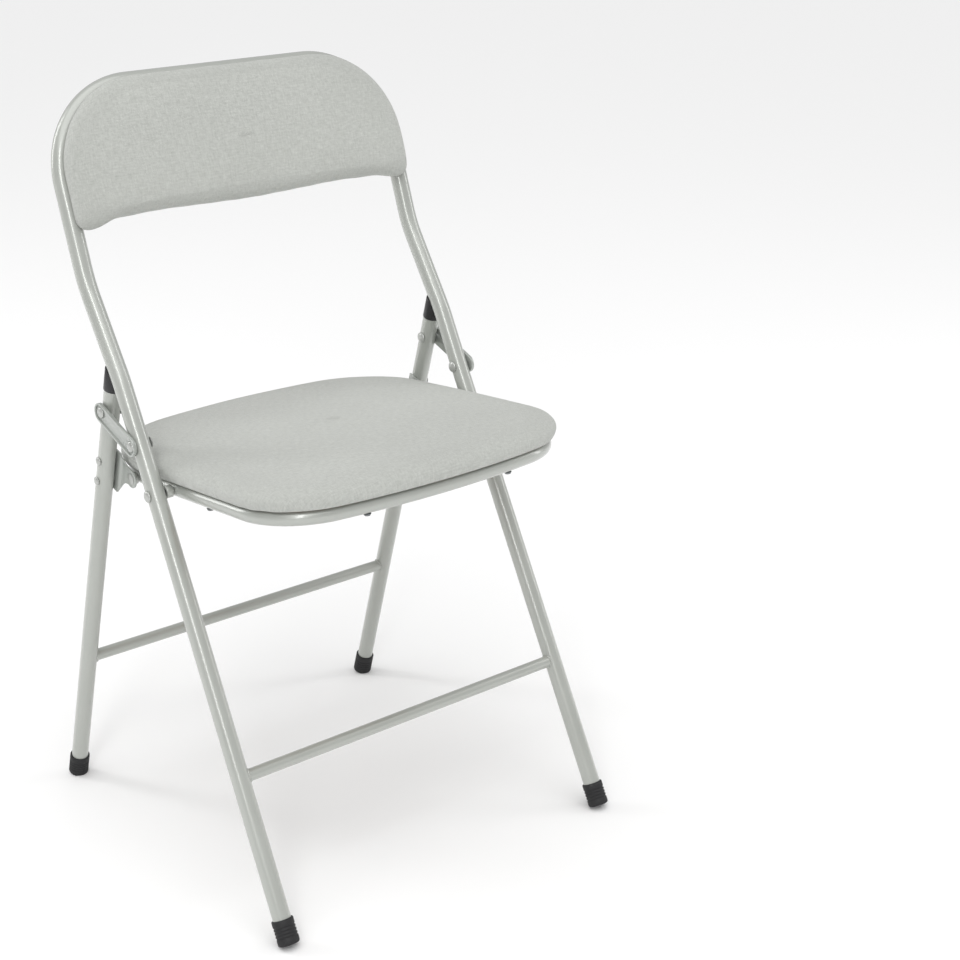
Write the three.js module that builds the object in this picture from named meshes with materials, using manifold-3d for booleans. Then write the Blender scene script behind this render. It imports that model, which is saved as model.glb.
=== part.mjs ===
// Folding chair: a bent steel tube frame with a padded seat and a padded back.
// Millimetres, +Z up, the chair faces -Y, and the origin is on the floor under its middle.
// Left and right are the sitter's own: the left side is +X.
import * as THREE from 'three';
import { mergeVertices } from 'three/addons/utils/BufferGeometryUtils.js';
import Module from 'manifold-3d';

const wasm = await Module();
wasm.setup();

// ---------------------------------------------------------------- driving dimensions

// Stance: the axes of the four legs where they reach the floor.
const FLOOR_DEPTH = 446; // front leg axis to rear leg axis
const FRAME_HALF_WIDTH = 204; // middle plane to the tube axes from the knee up, and to the rear legs
const FLOOR_SPLAY = 5; // how much further out a front leg stands at the floor
const KNEE_HEIGHT = 450; // above this the front tubes stop closing in and run parallel

// Side view of the front tube: slopes are run over rise, leaning back.
const LEG_SLOPE = 0.525;
const WAIST_SLOPE = 0.667;
const BACK_SLOPE = 0.35;
const WAIST_HEIGHT = 522; // where the leg turns into the waist
const LUMBAR_HEIGHT = 609.5; // where the waist turns into the back
const TOP_HEIGHT = 793; // axis of the top bar
const KNEE_RADIUS = 400;
const WAIST_RADIUS = 150;
const LUMBAR_RADIUS = 130;
const TOP_CORNER_RADIUS = 95;

// Rear legs lean forward as they rise.
const REAR_SLOPE = 0.302;
const REAR_LEG_TOP = 508; // height of the cut end of the rear leg tube

// Tubes.
const FRAME_TUBE = 19;
const REAR_TUBE = 18.5;
const SEAT_TUBE = 16;
const CROSSBAR_TUBE = 13;
const TUBE_WALL = 1.2;
const FRONT_CROSSBAR_HEIGHT = 155;
const REAR_CROSSBAR_HEIGHT = 167;

// Pivots, each named by its height on the tube that carries it.
const SEAT_PIVOT_HEIGHT = 416; // seat on the front tube
const LINK_PIVOT_HEIGHT = 462.5; // link on the front tube
const LEG_PIVOT_HEIGHT = 483.5; // link on the rear leg
const GUSSET_PIVOT_REACH = 71.9; // seat pivot to the gusset's pivot, along the seat ring
const PIN_RADIUS = 3;
const PIN_HEAD_RADIUS = 6;
const PIN_HEAD_HEIGHT = 2.4;
const FLAT_HEAD_HEIGHT = 0.9; // the gusset pivot's head, which folds past the front tube
const SPACER_RADIUS = 6.5;

// Seat.
const SEAT_TILT = 5.9; // degrees, front edge up
const SEAT_RING_FRONT = 203; // seat pivot forward to the ring's front axis, in the middle
const SEAT_RING_REAR = 163; // seat pivot back to the ring's rear axis, in the middle
const SEAT_FRONT_CORNER = 70;
const SEAT_REAR_CORNER = 95;
const SEAT_FRONT_BOW = 750; // radius of the front run, which is one shallow arc
const SEAT_REAR_BOW = 560;
const CUSHION_SIDE_OVERHANG = 12.2; // past the ring's axis
const CUSHION_SIDE_CLEARANCE = 0.35; // cushion to the gussets on both sides, which places the ring
const CUSHION_END_OVERHANG = 15.5;
const CUSHION_HEIGHT = 24;
const CUSHION_EDGE = 12; // rounding of the top edge
const SEAT_BOARD_THICKNESS = 6;
const SEAT_BOARD_INSET = 9; // cushion's edge in to the board's edge
const SIDE_SCREW_FORWARD = 60; // of the seat pivot
const FRONT_SCREW_OUT = 88; // from the middle plane

// Back pad.
const PAD_BOTTOM_HEIGHT = 663.5;
const PAD_CORNER_DROP = 6; // the lower corners hang below the middle
const PAD_CORNER_WIDTH = 40; // how far in from the side the drop reaches
const PAD_CORNER_RADIUS = 9; // of a lower corner
const PAD_OVERLAP = -1; // pad edge past the tube's axis
const PAD_THICKNESS = 19;
const PAD_EDGE = 8;
const BACK_BOARD_THICKNESS = 5;
const BACK_BOARD_INSET = 4;
const TAB_WIDTH = 22;
const TAB_REACH = 25; // from the tube's axis
const TAB_SHEET = 2;
const TAB_SCREW_REACH = 17; // from the tube's axis
const SIDE_TAB_HEIGHT = 692;
const TOP_TAB_OUT = 80; // from the middle plane

// Linkage plates.
const LINK_RADIUS = 10; // rounded ends, so the link is twice this wide
const LINK_SHEET = 1.5;
const LINK_RIM_WIDTH = 1.8;
const LINK_RIM_HEIGHT = 3.4; // sheet included
const GUSSET_SHEET = 1.8;
const GUSSET_LUG_RADIUS = 9.5;
const GUSSET_JOGGLE = 1.6; // sideways step from the leg to the lug
const GUSSET_TOP = 51; // down the leg from the link pivot
const GUSSET_BOTTOM = 99;
const GUSSET_HEEL = 5.5; // behind the leg's axis
const GUSSET_MARGIN = 1; // in front of the leg, before the sheet steps inwards
const GUSSET_RIVETS = [61, 86]; // down the leg from the link pivot
const RIVET_RADIUS = 2.2;
const RIVET_HEAD_RADIUS = 4.6;
const RIVET_HEAD_HEIGHT = 2;
const SCREW_RADIUS = 2;
const SCREW_HEAD_RADIUS = 4.2;
const SCREW_HEAD_HEIGHT = 2.2;
const SCREW_HEAD_FLAT = 2.9; // radius of the head's low face

// Rubber and plastic.
const FOOT_WALL = 1.5;
const FOOT_SOLE = 5;
const FOOT_LENGTH = 26;
const SOLE_FLAT = 1.6; // how much of the sole's low edge is trimmed level with the floor
const BUMPER_LENGTH = 25;
const BUMPER_PLUG = 12;
const BUMPER_OVERSIZE = 0.7; // bumper radius over the leg's
const BUMPER_REST = 5; // front tube's axis back to where the bumper's cheeks end

// Clearances.
const GAP = 0.3; // between pieces that touch
const PIN_CLEARANCE = 0.35; // pin in its hole, radially

// ---------------------------------------------------------------- worked-out places

const DEG = Math.PI / 180;
const MERGE_DISTANCE = 1e-4;
const BEND_STEP = 11; // degrees of bend per station
const TUBE_SIDES = 16;
const SMALL_TUBE_SIDES = 14;
const BORE_SIDES = 10;
const ROUND_SIDES = 20; // feet, spacers and bumpers
const PIN_SIDES = 14;
const SCREW_SIDES = 12;
const CURVE_SEGMENTS = 6;
const OVERRUN = 5; // how far a cutting shape passes the face it cuts
const frameRadius = FRAME_TUBE / 2;
const rearRadius = REAR_TUBE / 2;
const seatTubeRadius = SEAT_TUBE / 2;
const crossbarRadius = CROSSBAR_TUBE / 2;
const legAngle = Math.atan(LEG_SLOPE);
const rearAngle = Math.atan(REAR_SLOPE);
const backAngle = Math.atan(BACK_SLOPE);
const footOverhang = (tubeRadius) => tubeRadius + GAP + FOOT_WALL;

// The feet's outer edges, front and rear, stand the same distance from the origin.
const frontReach = footReach(footOverhang(frameRadius), legAngle);
const rearReach = footReach(footOverhang(rearRadius), rearAngle);
const frontFloorY = -FLOOR_DEPTH / 2 + (frontReach - rearReach) / 2;
const rearFloorY = frontFloorY + FLOOR_DEPTH;

// How far a foot's outermost edge stands out from its leg's axis at the floor.
function footReach(radius, angle) {
  const rise = radius * Math.sin(angle) - SOLE_FLAT;
  return radius * Math.cos(angle) - rise * Math.tan(angle);
}

// A point on the axis of a front tube at a height, as seen from the side.
function frontTubeY(z) {
  const waistY = frontFloorY + LEG_SLOPE * WAIST_HEIGHT;
  const lumbarY = waistY + WAIST_SLOPE * (LUMBAR_HEIGHT - WAIST_HEIGHT);
  if (z <= WAIST_HEIGHT) return frontFloorY + LEG_SLOPE * z;
  if (z <= LUMBAR_HEIGHT) return waistY + WAIST_SLOPE * (z - WAIST_HEIGHT);
  return lumbarY + BACK_SLOPE * (z - LUMBAR_HEIGHT);
}

function frontTubeX(z) {
  const share = Math.min(z, KNEE_HEIGHT) / KNEE_HEIGHT;
  return FRAME_HALF_WIDTH + FLOOR_SPLAY * (1 - share);
}

const frontTubeAt = (z) => new THREE.Vector3(frontTubeX(z), frontTubeY(z), z);
const rearLegAt = (z) => new THREE.Vector3(FRAME_HALF_WIDTH, rearFloorY - REAR_SLOPE * z, z);

const seatPivot = frontTubeAt(SEAT_PIVOT_HEIGHT);
const linkPivot = frontTubeAt(LINK_PIVOT_HEIGHT);
const legPivot = rearLegAt(LEG_PIVOT_HEIGHT);
const gussetPivot = new THREE.Vector3(
  FRAME_HALF_WIDTH,
  seatPivot.y + GUSSET_PIVOT_REACH * Math.cos(SEAT_TILT * DEG),
  seatPivot.z - GUSSET_PIVOT_REACH * Math.sin(SEAT_TILT * DEG)
);

// Layers from the middle plane outwards, on one side.
const linkTubeInner = linkPivot.x - frameRadius;
const linkTubeOuter = linkPivot.x + frameRadius;
const seatTubeInner = seatPivot.x - frameRadius;
const seatTubeOuter = seatPivot.x + frameRadius;
const rearInner = FRAME_HALF_WIDTH - rearRadius;
const rearOuter = FRAME_HALF_WIDTH + rearRadius;
const linkInner = Math.max(linkTubeOuter, rearOuter + BUMPER_OVERSIZE) + GAP;
const linkFace = linkInner + LINK_SHEET;
const gussetFoot = rearInner - GAP; // outer face where it lies on the leg
const gussetLug = gussetFoot - GUSSET_JOGGLE; // outer face around its pivot
const gussetInner = gussetLug - GUSSET_SHEET;
const ringHalfWidth = gussetInner - CUSHION_SIDE_CLEARANCE - CUSHION_SIDE_OVERHANG; // to its axis
const ringFace = ringHalfWidth + seatTubeRadius;

// ---------------------------------------------------------------- solids

// A closed geometry as a manifold-3d solid: only positions, shared vertices merged.
function solidOf(geometry) {
  const bare = new THREE.BufferGeometry();
  bare.setAttribute('position', geometry.getAttribute('position'));
  if (geometry.index) bare.setIndex(geometry.index);
  const merged = mergeVertices(bare, MERGE_DISTANCE);
  const triangles = [];
  for (let i = 0; i < merged.index.count; i += 3) {
    const [a, b, c] = [0, 1, 2].map((k) => merged.index.getX(i + k));
    if (a !== b && b !== c && c !== a) triangles.push(a, b, c);
  }
  return new wasm.Manifold(
    new wasm.Mesh({
      numProp: 3,
      vertProperties: new Float32Array(merged.attributes.position.array),
      triVerts: new Uint32Array(triangles),
    })
  );
}

function geometryOf(solid) {
  const mesh = solid.getMesh();
  const geometry = new THREE.BufferGeometry();
  geometry.setAttribute('position', new THREE.BufferAttribute(mesh.vertProperties, 3));
  geometry.setIndex(new THREE.BufferAttribute(mesh.triVerts, 1));
  const faceted = geometry.toNonIndexed();
  faceted.computeVertexNormals();
  return faceted;
}

function cut(geometry, ...tools) {
  const rest = tools.reduce((left, tool) => left.subtract(solidOf(tool)), solidOf(geometry));
  return geometryOf(rest);
}

function join(...geometries) {
  return geometryOf(geometries.map(solidOf).reduce((all, one) => all.add(one)));
}

function overlapOf(geometry, other) {
  return geometryOf(solidOf(geometry).intersect(solidOf(other)));
}

// ---------------------------------------------------------------- tubes along a path

// A curve through fixed stations, so that a straight run takes one step and a bend takes several.
class StationCurve extends THREE.Curve {
  constructor(stations) {
    super();
    this.stations = stations;
  }

  getPoint(t, target = new THREE.Vector3()) {
    const place = t * (this.stations.length - 1);
    const i = Math.min(Math.floor(place), this.stations.length - 2);
    return target.lerpVectors(this.stations[i], this.stations[i + 1], place - i);
  }

  getPointAt(u, target) {
    return this.getPoint(u, target);
  }

  getTangentAt(u, target = new THREE.Vector3()) {
    const last = this.stations.length - 1;
    const i = Math.round(u * last);
    const here = this.stations[i];
    const before = new THREE.Vector3().subVectors(here, this.stations[Math.max(i - 1, 0)]);
    const after = new THREE.Vector3().subVectors(this.stations[Math.min(i + 1, last)], here);
    return target.addVectors(before.normalize(), after.normalize()).normalize();
  }
}

// Stations around one corner, rounded to a radius.
function roundCorner(before, corner, after, radius) {
  const back = before.clone().sub(corner).normalize();
  const ahead = after.clone().sub(corner).normalize();
  const turn = Math.PI - back.angleTo(ahead);
  const inward = back.clone().add(ahead).normalize();
  const centre = corner.clone().addScaledVector(inward, radius / Math.cos(turn / 2));
  const start = corner.clone().addScaledVector(back, radius * Math.tan(turn / 2)).sub(centre);
  const axis = new THREE.Vector3().crossVectors(back, ahead).normalize();
  const steps = 2 * Math.ceil(turn / DEG / BEND_STEP / 2);
  return Array.from({ length: steps + 1 }, (_, k) =>
    start.clone().applyAxisAngle(axis, (-turn * k) / steps).add(centre)
  );
}

// Stations along corners joined by straight runs: the first and last corner are its ends.
function roundedPath(corners, radii) {
  const last = corners.length - 1;
  const bends = corners
    .slice(1, last)
    .map((corner, i) => roundCorner(corners[i], corner, corners[i + 2], radii[i]));
  return [corners[0], ...bends.flat(), corners[last]];
}

function roundPoints(radius, sides) {
  const step = (2 * Math.PI) / sides;
  return Array.from({ length: sides }, (_, i) => {
    const angle = (i + 0.5) * step;
    return new THREE.Vector2(radius * Math.cos(angle), radius * Math.sin(angle));
  });
}

function sweep(stations, radius, boreRadius = 0, sides = TUBE_SIDES) {
  const section = new THREE.Shape(roundPoints(radius, sides));
  if (boreRadius > 0) section.holes.push(new THREE.Path(roundPoints(boreRadius, BORE_SIDES)));
  return new THREE.ExtrudeGeometry(section, {
    steps: stations.length - 1,
    extrudePath: new StationCurve(stations),
  });
}

const tube = (stations, diameter, sides) =>
  sweep(stations, diameter / 2, diameter / 2 - TUBE_WALL, sides);
const rod = (from, to, radius, sides) => sweep([from, to], radius, 0, sides);

// A plate drawn in side view (first coordinate Y, second Z) between two distances out.
function sidePlate(shape, innerX, outerX) {
  const plate = new THREE.ExtrudeGeometry(shape, {
    depth: outerX - innerX,
    bevelEnabled: false,
    curveSegments: 2 * CURVE_SEGMENTS,
  });
  const sideways = new THREE.Matrix4().makeBasis(
    new THREE.Vector3(0, 1, 0),
    new THREE.Vector3(0, 0, 1),
    new THREE.Vector3(1, 0, 0)
  );
  return plate.applyMatrix4(sideways).translate(innerX, 0, 0);
}

// A turned piece on a line along X: the profile lists [distance out, radius].
function turned(profile, place, sides = PIN_SIDES) {
  const points = profile.map(([x, radius]) => new THREE.Vector2(radius, x));
  const lathe = new THREE.LatheGeometry(points, sides);
  return lathe.rotateZ(-Math.PI / 2).translate(0, place.y, place.z);
}

const crosswise = (place, fromX, toX, radius, sides = PIN_SIDES) =>
  turned([[fromX, 0], [fromX, radius], [toX, radius], [toX, 0]], place, sides);

// A domed head from a flat seat at seatX to its crown at crownX. Each step is a share of its rise
// and of its radius.
const DOME_STEPS = [[0, 1], [0.45, 0.93], [0.82, 0.62], [1, 0]];

function domeProfile(seatX, crownX, radius) {
  return DOME_STEPS.map(([rise, width]) => [seatX + rise * (crownX - seatX), width * radius]);
}

// A screw from below a metal face at metalZ up to a board that starts at boardZ.
function screwAlongZ(metalZ, boardZ) {
  const points = [
    [metalZ - GAP - SCREW_HEAD_HEIGHT, 0],
    [metalZ - GAP - SCREW_HEAD_HEIGHT, SCREW_HEAD_FLAT],
    [metalZ - GAP, SCREW_HEAD_RADIUS],
    [metalZ - GAP, SCREW_RADIUS],
    [boardZ - GAP, SCREW_RADIUS],
    [boardZ - GAP, 0],
  ].map(([height, radius]) => new THREE.Vector2(radius, height));
  return new THREE.LatheGeometry(points, SCREW_SIDES).rotateX(Math.PI / 2);
}

// ---------------------------------------------------------------- materials

const paint = () =>
  new THREE.MeshStandardMaterial({ color: 0xb4b8b1, roughness: 0.38, metalness: 0.15 });
const plated = () =>
  new THREE.MeshStandardMaterial({ color: 0xaeb1ad, roughness: 0.35, metalness: 0.6 });
const fabric = () =>
  new THREE.MeshStandardMaterial({ color: 0xc3c5c1, roughness: 0.95, metalness: 0 });
const board = () =>
  new THREE.MeshStandardMaterial({ color: 0x8a6f52, roughness: 0.8, metalness: 0 });
const rubber = () =>
  new THREE.MeshStandardMaterial({ color: 0x1d1d1e, roughness: 0.7, metalness: 0 });
const blackPlastic = () =>
  new THREE.MeshStandardMaterial({ color: 0x202123, roughness: 0.45, metalness: 0 });
const screwSteel = () =>
  new THREE.MeshStandardMaterial({ color: 0x55585a, roughness: 0.4, metalness: 0.8 });

function piece(name, geometry, material) {
  const mesh = new THREE.Mesh(geometry, material);
  mesh.name = name;
  return mesh;
}

// ---------------------------------------------------------------- front frame

// Where a leg's tube is cut, inside its foot: the sole's thickness above the foot's low face.
function legEnd(axisAt, tubeRadius, angle) {
  const discRise = footOverhang(tubeRadius) * Math.sin(angle) - SOLE_FLAT;
  return axisAt(discRise + FOOT_SOLE * Math.cos(angle));
}

function frontFrameTube() {
  const half = [
    legEnd(frontTubeAt, frameRadius, legAngle),
    frontTubeAt(KNEE_HEIGHT),
    frontTubeAt(WAIST_HEIGHT),
    frontTubeAt(LUMBAR_HEIGHT),
    frontTubeAt(TOP_HEIGHT),
  ];
  const radii = [KNEE_RADIUS, WAIST_RADIUS, LUMBAR_RADIUS, TOP_CORNER_RADIUS];
  const mirrored = half.map((p) => new THREE.Vector3(-p.x, p.y, p.z)).reverse();
  const stations = roundedPath([...half, ...mirrored], [...radii, ...[...radii].reverse()]);
  const bar = tube(stations, FRAME_TUBE);
  const holes = [];
  for (const side of [-1, 1]) {
    for (const pivot of [seatPivot, linkPivot]) {
      const outer = side * (pivot.x + FRAME_TUBE);
      const inner = side * (pivot.x - FRAME_TUBE);
      const [low, high] = [inner, outer].sort((a, b) => a - b);
      holes.push(crosswise(pivot, low, high, PIN_RADIUS + PIN_CLEARANCE));
    }
  }
  return cut(bar, ...holes);
}

// Crossbar between two legs, its ends saddled to the tubes it meets.
function crossbar(height, axisAt, legRadius) {
  const end = axisAt(height);
  const otherEnd = new THREE.Vector3(-end.x, end.y, end.z);
  const bar = tube([otherEnd, end], CROSSBAR_TUBE, SMALL_TUBE_SIDES);
  const span = 4 * crossbarRadius;
  const saddles = [-1, 1].map((side) => {
    const low = axisAt(height - span);
    const high = axisAt(height + span);
    low.x *= side;
    high.x *= side;
    return rod(low, high, legRadius + GAP, ROUND_SIDES);
  });
  return cut(bar, ...saddles);
}

// A rubber foot: a cup along the leg, its low edge trimmed level with the floor.
function foot(axisAt, tubeRadius, angle) {
  const outer = footOverhang(tubeRadius);
  const bottom = axisAt(outer * Math.sin(angle) - SOLE_FLAT);
  const along = axisAt(FOOT_LENGTH).sub(axisAt(0)).normalize();
  const upTo = (distance) => bottom.clone().addScaledVector(along, distance);
  const body = rod(bottom, upTo(FOOT_LENGTH), outer, ROUND_SIDES);
  const boreEnd = upTo(FOOT_LENGTH + OVERRUN);
  const bore = rod(upTo(FOOT_SOLE - GAP), boreEnd, tubeRadius + GAP, ROUND_SIDES);
  const size = 6 * outer;
  const floor = new THREE.BoxGeometry(size, size, size);
  floor.translate(bottom.x, bottom.y, -size / 2);
  return cut(body, bore, floor);
}

// Pin that joins the front tube and the seat ring, with its spacer between them.
function seatPivotPin() {
  const head = seatTubeOuter + GAP;
  return turned(
    [
      [ringHalfWidth, 0],
      [ringHalfWidth, PIN_RADIUS],
      [head, PIN_RADIUS],
      ...domeProfile(head, head + PIN_HEAD_HEIGHT, PIN_HEAD_RADIUS),
    ],
    seatPivot
  );
}

function spacer(pivot, fromX, toX) {
  const body = crosswise(pivot, fromX, toX, SPACER_RADIUS, ROUND_SIDES);
  const bore = crosswise(pivot, fromX - OVERRUN, toX + OVERRUN, PIN_RADIUS + PIN_CLEARANCE);
  return cut(body, bore);
}

// Pin that joins the link and the front tube, with a head on each side.
function linkPivotPin() {
  const inner = linkTubeInner - GAP;
  return turned(
    [
      ...domeProfile(inner, inner - PIN_HEAD_HEIGHT, PIN_HEAD_RADIUS).reverse(),
      [inner, PIN_RADIUS],
      [linkFace + GAP, PIN_RADIUS],
      ...domeProfile(linkFace + GAP, linkFace + GAP + PIN_HEAD_HEIGHT, PIN_HEAD_RADIUS),
    ],
    linkPivot
  );
}

// ---------------------------------------------------------------- back

// The back is drawn flat: X across, Y up along the tubes from the lumbar bend, +Z forward.
const backUp = (height) => (height - LUMBAR_HEIGHT) / Math.cos(backAngle);

function onBack(geometry) {
  return geometry
    .rotateX(Math.PI / 2 - backAngle)
    .translate(0, frontTubeY(LUMBAR_HEIGHT), LUMBAR_HEIGHT);
}

// Outline of the pad, drawn in from its full size by an inset.
function padShape(inset) {
  const side = FRAME_HALF_WIDTH + PAD_OVERLAP - inset;
  const top = backUp(TOP_HEIGHT) + PAD_OVERLAP - inset;
  const bottom = backUp(PAD_BOTTOM_HEIGHT) + inset;
  const low = bottom - PAD_CORNER_DROP;
  const corner = TOP_CORNER_RADIUS + PAD_OVERLAP - inset;
  const inner = side - PAD_CORNER_WIDTH;
  const outer = side - PAD_CORNER_RADIUS;
  const ease = 0.45 * (outer - inner);
  const shape = new THREE.Shape();
  shape.moveTo(-inner, bottom);
  shape.lineTo(inner, bottom);
  shape.bezierCurveTo(inner + ease, bottom, outer - ease, low, outer, low);
  shape.quadraticCurveTo(side, low, side, low + PAD_CORNER_RADIUS);
  shape.lineTo(side, top - corner);
  shape.absarc(side - corner, top - corner, corner, 0, Math.PI / 2, false);
  shape.lineTo(-side + corner, top);
  shape.absarc(-side + corner, top - corner, corner, Math.PI / 2, Math.PI, false);
  shape.lineTo(-side, low + PAD_CORNER_RADIUS);
  shape.quadraticCurveTo(-side, low, -outer, low);
  shape.bezierCurveTo(ease - outer, low, -inner - ease, bottom, -inner, bottom);
  return shape;
}

// A soft slab: the outline swept forward, its front edge rounded.
function softSlab(outline, depth, edge, segments) {
  return new THREE.ExtrudeGeometry(outline(edge), {
    depth: depth - edge,
    bevelEnabled: true,
    bevelThickness: edge,
    bevelSize: edge,
    bevelSegments: segments,
    curveSegments: CURVE_SEGMENTS,
  });
}

function flatSlab(shape, depth) {
  return new THREE.ExtrudeGeometry(shape, { depth, bevelEnabled: false, curveSegments: CURVE_SEGMENTS });
}

const padSeat = frameRadius + GAP;

function backPad() {
  const full = softSlab(padShape, PAD_THICKNESS, PAD_EDGE, 3).translate(0, 0, padSeat);
  const rear = new THREE.BoxGeometry(3 * FRAME_HALF_WIDTH, 3 * TOP_HEIGHT, 2 * PAD_THICKNESS);
  rear.translate(0, 0, padSeat - PAD_THICKNESS);
  const pocket = flatSlab(padShape(BACK_BOARD_INSET - GAP), BACK_BOARD_THICKNESS + 2 * GAP);
  pocket.translate(0, 0, padSeat - GAP);
  return onBack(cut(full, rear, pocket));
}

function backBoard() {
  const panel = flatSlab(padShape(BACK_BOARD_INSET), BACK_BOARD_THICKNESS);
  return onBack(panel.translate(0, 0, padSeat));
}

// The board is screwed to four tabs welded flush with the front of the tube. Each is drawn at
// its place along the tube, reaching inwards: along -X from a side tube, along -Y from the top.
function backTab(place, turn) {
  const tab = new THREE.BoxGeometry(TAB_REACH, TAB_WIDTH, TAB_SHEET);
  tab.translate(-TAB_REACH / 2, 0, frameRadius - TAB_SHEET / 2);
  const barEnd = new THREE.Vector3(0, TAB_WIDTH, 0);
  const bar = rod(barEnd.clone().negate(), barEnd, frameRadius + GAP);
  const hole = new THREE.CylinderGeometry(
    SCREW_RADIUS + PIN_CLEARANCE, SCREW_RADIUS + PIN_CLEARANCE, 10 * TAB_SHEET, SCREW_SIDES
  );
  hole.rotateX(Math.PI / 2).translate(-TAB_SCREW_REACH, 0, frameRadius);
  return onBack(cut(tab, bar, hole).rotateZ(turn).translate(place.x, place.y, 0));
}

function backScrew(place, turn) {
  const screw = screwAlongZ(frameRadius - TAB_SHEET, padSeat).translate(-TAB_SCREW_REACH, 0, 0);
  return onBack(screw.rotateZ(turn).translate(place.x, place.y, 0));
}

const BACK_FIXINGS = [
  [{ x: FRAME_HALF_WIDTH, y: backUp(SIDE_TAB_HEIGHT) }, 0],
  [{ x: TOP_TAB_OUT, y: backUp(TOP_HEIGHT) }, Math.PI / 2],
];

// ---------------------------------------------------------------- seat

// The seat is drawn flat: X across, Y forward from the seat pivot, +Z up from the ring's axis.
function onSeat(geometry) {
  return geometry
    .rotateZ(Math.PI)
    .rotateX(-SEAT_TILT * DEG)
    .translate(0, seatPivot.y, seatPivot.z);
}

// Stations round the ring's axis, or round an outline that stands out from it at the sides and
// at the ends. They start and end in the middle of the rear edge. Each end is one shallow arc
// that runs straight into the corners.
function seatLoop(sideOut, endOut) {
  const x = ringHalfWidth + sideOut;
  const end = (reach, bowRadius, cornerRadius) => {
    const radius = bowRadius + endOut;
    const corner = cornerRadius + sideOut;
    const slope = Math.asin((x - corner) / (radius - corner));
    const apex = reach + endOut + radius * (1 / Math.cos(slope) - 1);
    return { radius, corner, apex, cornerReach: apex - x * Math.tan(slope) };
  };
  const front = end(SEAT_RING_FRONT, SEAT_FRONT_BOW, SEAT_FRONT_CORNER);
  const rear = end(SEAT_RING_REAR, SEAT_REAR_BOW, SEAT_REAR_CORNER);
  const corners = [
    [0, -rear.apex, rear.radius],
    [x, -rear.cornerReach, rear.corner],
    [x, front.cornerReach, front.corner],
    [0, front.apex, front.radius],
    [-x, front.cornerReach, front.corner],
    [-x, -rear.cornerReach, rear.corner],
  ].map(([cx, cy, radius]) => ({ at: new THREE.Vector3(cx, cy, 0), radius }));
  const arcs = corners.map(({ at, radius }, i) => {
    const before = corners[(i + corners.length - 1) % corners.length].at;
    const after = corners[(i + 1) % corners.length].at;
    return roundCorner(before, at, after, radius);
  });
  const middle = arcs[0].length >> 1;
  const loop = [...arcs[0].slice(middle), ...arcs.slice(1).flat(), ...arcs[0].slice(0, middle + 1)];
  return loop.filter((p, i) => i === 0 || p.distanceTo(loop[i - 1]) > GAP);
}

function cushionShape(inset) {
  const loop = seatLoop(CUSHION_SIDE_OVERHANG - inset, CUSHION_END_OVERHANG - inset).slice(1);
  return new THREE.Shape(loop.map((p) => new THREE.Vector2(p.x, p.y)));
}

// The screws stand under the side tubes and under the bowed front tube.
const frontBowAt = (x) => SEAT_RING_FRONT - SEAT_FRONT_BOW + Math.sqrt(SEAT_FRONT_BOW ** 2 - x ** 2);
const SEAT_SCREWS = [
  { x: ringHalfWidth, y: SIDE_SCREW_FORWARD },
  { x: FRONT_SCREW_OUT, y: frontBowAt(FRONT_SCREW_OUT) },
];

// The ring is one bent tube whose ends butt together in the middle of its rear run.
function seatRing() {
  const stations = seatLoop(0, 0);
  stations[0].x = GAP / 2;
  stations[stations.length - 1].x = -GAP / 2;
  const ring = tube(stations, SEAT_TUBE, SMALL_TUBE_SIDES);
  const holes = [];
  for (const side of [-1, 1]) {
    for (const reach of [0, -GUSSET_PIVOT_REACH]) {
      const ends = [ringHalfWidth, ringHalfWidth + SEAT_TUBE].map((x) => side * x);
      const place = new THREE.Vector3(0, reach, 0);
      holes.push(crosswise(place, Math.min(...ends), Math.max(...ends), PIN_RADIUS + PIN_CLEARANCE));
    }
    for (const place of SEAT_SCREWS) {
      const hole = new THREE.CylinderGeometry(
        SCREW_RADIUS + PIN_CLEARANCE, SCREW_RADIUS + PIN_CLEARANCE, 2 * SEAT_TUBE, SCREW_SIDES
      );
      holes.push(hole.rotateX(Math.PI / 2).translate(side * place.x, place.y, 0));
    }
  }
  return onSeat(cut(ring, ...holes));
}

const boardSeat = seatTubeRadius + GAP;

function seatBoard() {
  const panel = flatSlab(cushionShape(SEAT_BOARD_INSET), SEAT_BOARD_THICKNESS);
  return onSeat(panel.translate(0, 0, boardSeat));
}

function seatCushion() {
  const full = softSlab(cushionShape, CUSHION_HEIGHT, CUSHION_EDGE, 4);
  full.translate(0, 0, boardSeat);
  const size = 4 * FLOOR_DEPTH;
  const under = new THREE.BoxGeometry(size, size, size).translate(0, 0, boardSeat - size / 2);
  const pocket = flatSlab(cushionShape(SEAT_BOARD_INSET - GAP), SEAT_BOARD_THICKNESS + 2 * GAP);
  pocket.translate(0, 0, boardSeat - GAP);
  return onSeat(cut(full, under, pocket));
}

function seatScrew(place) {
  return onSeat(screwAlongZ(-seatTubeRadius, boardSeat).translate(place.x, place.y, 0));
}

// Pin that joins the gusset and the seat ring: its outer head lies on the gusset's lug.
function gussetPivotPin() {
  return turned(
    [
      [ringHalfWidth, 0],
      [ringHalfWidth, PIN_RADIUS],
      [gussetLug + GAP, PIN_RADIUS],
      ...domeProfile(gussetLug + GAP, gussetLug + GAP + FLAT_HEAD_HEIGHT, PIN_HEAD_RADIUS),
    ],
    gussetPivot
  );
}

// ---------------------------------------------------------------- rear legs

// The gusset is drawn along the leg: first coordinate forward of its axis, second down it.
function legPlace(forward, down) {
  return {
    y: legPivot.y - forward * Math.cos(rearAngle) + down * Math.sin(rearAngle),
    z: legPivot.z - forward * Math.sin(rearAngle) - down * Math.cos(rearAngle),
  };
}

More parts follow.
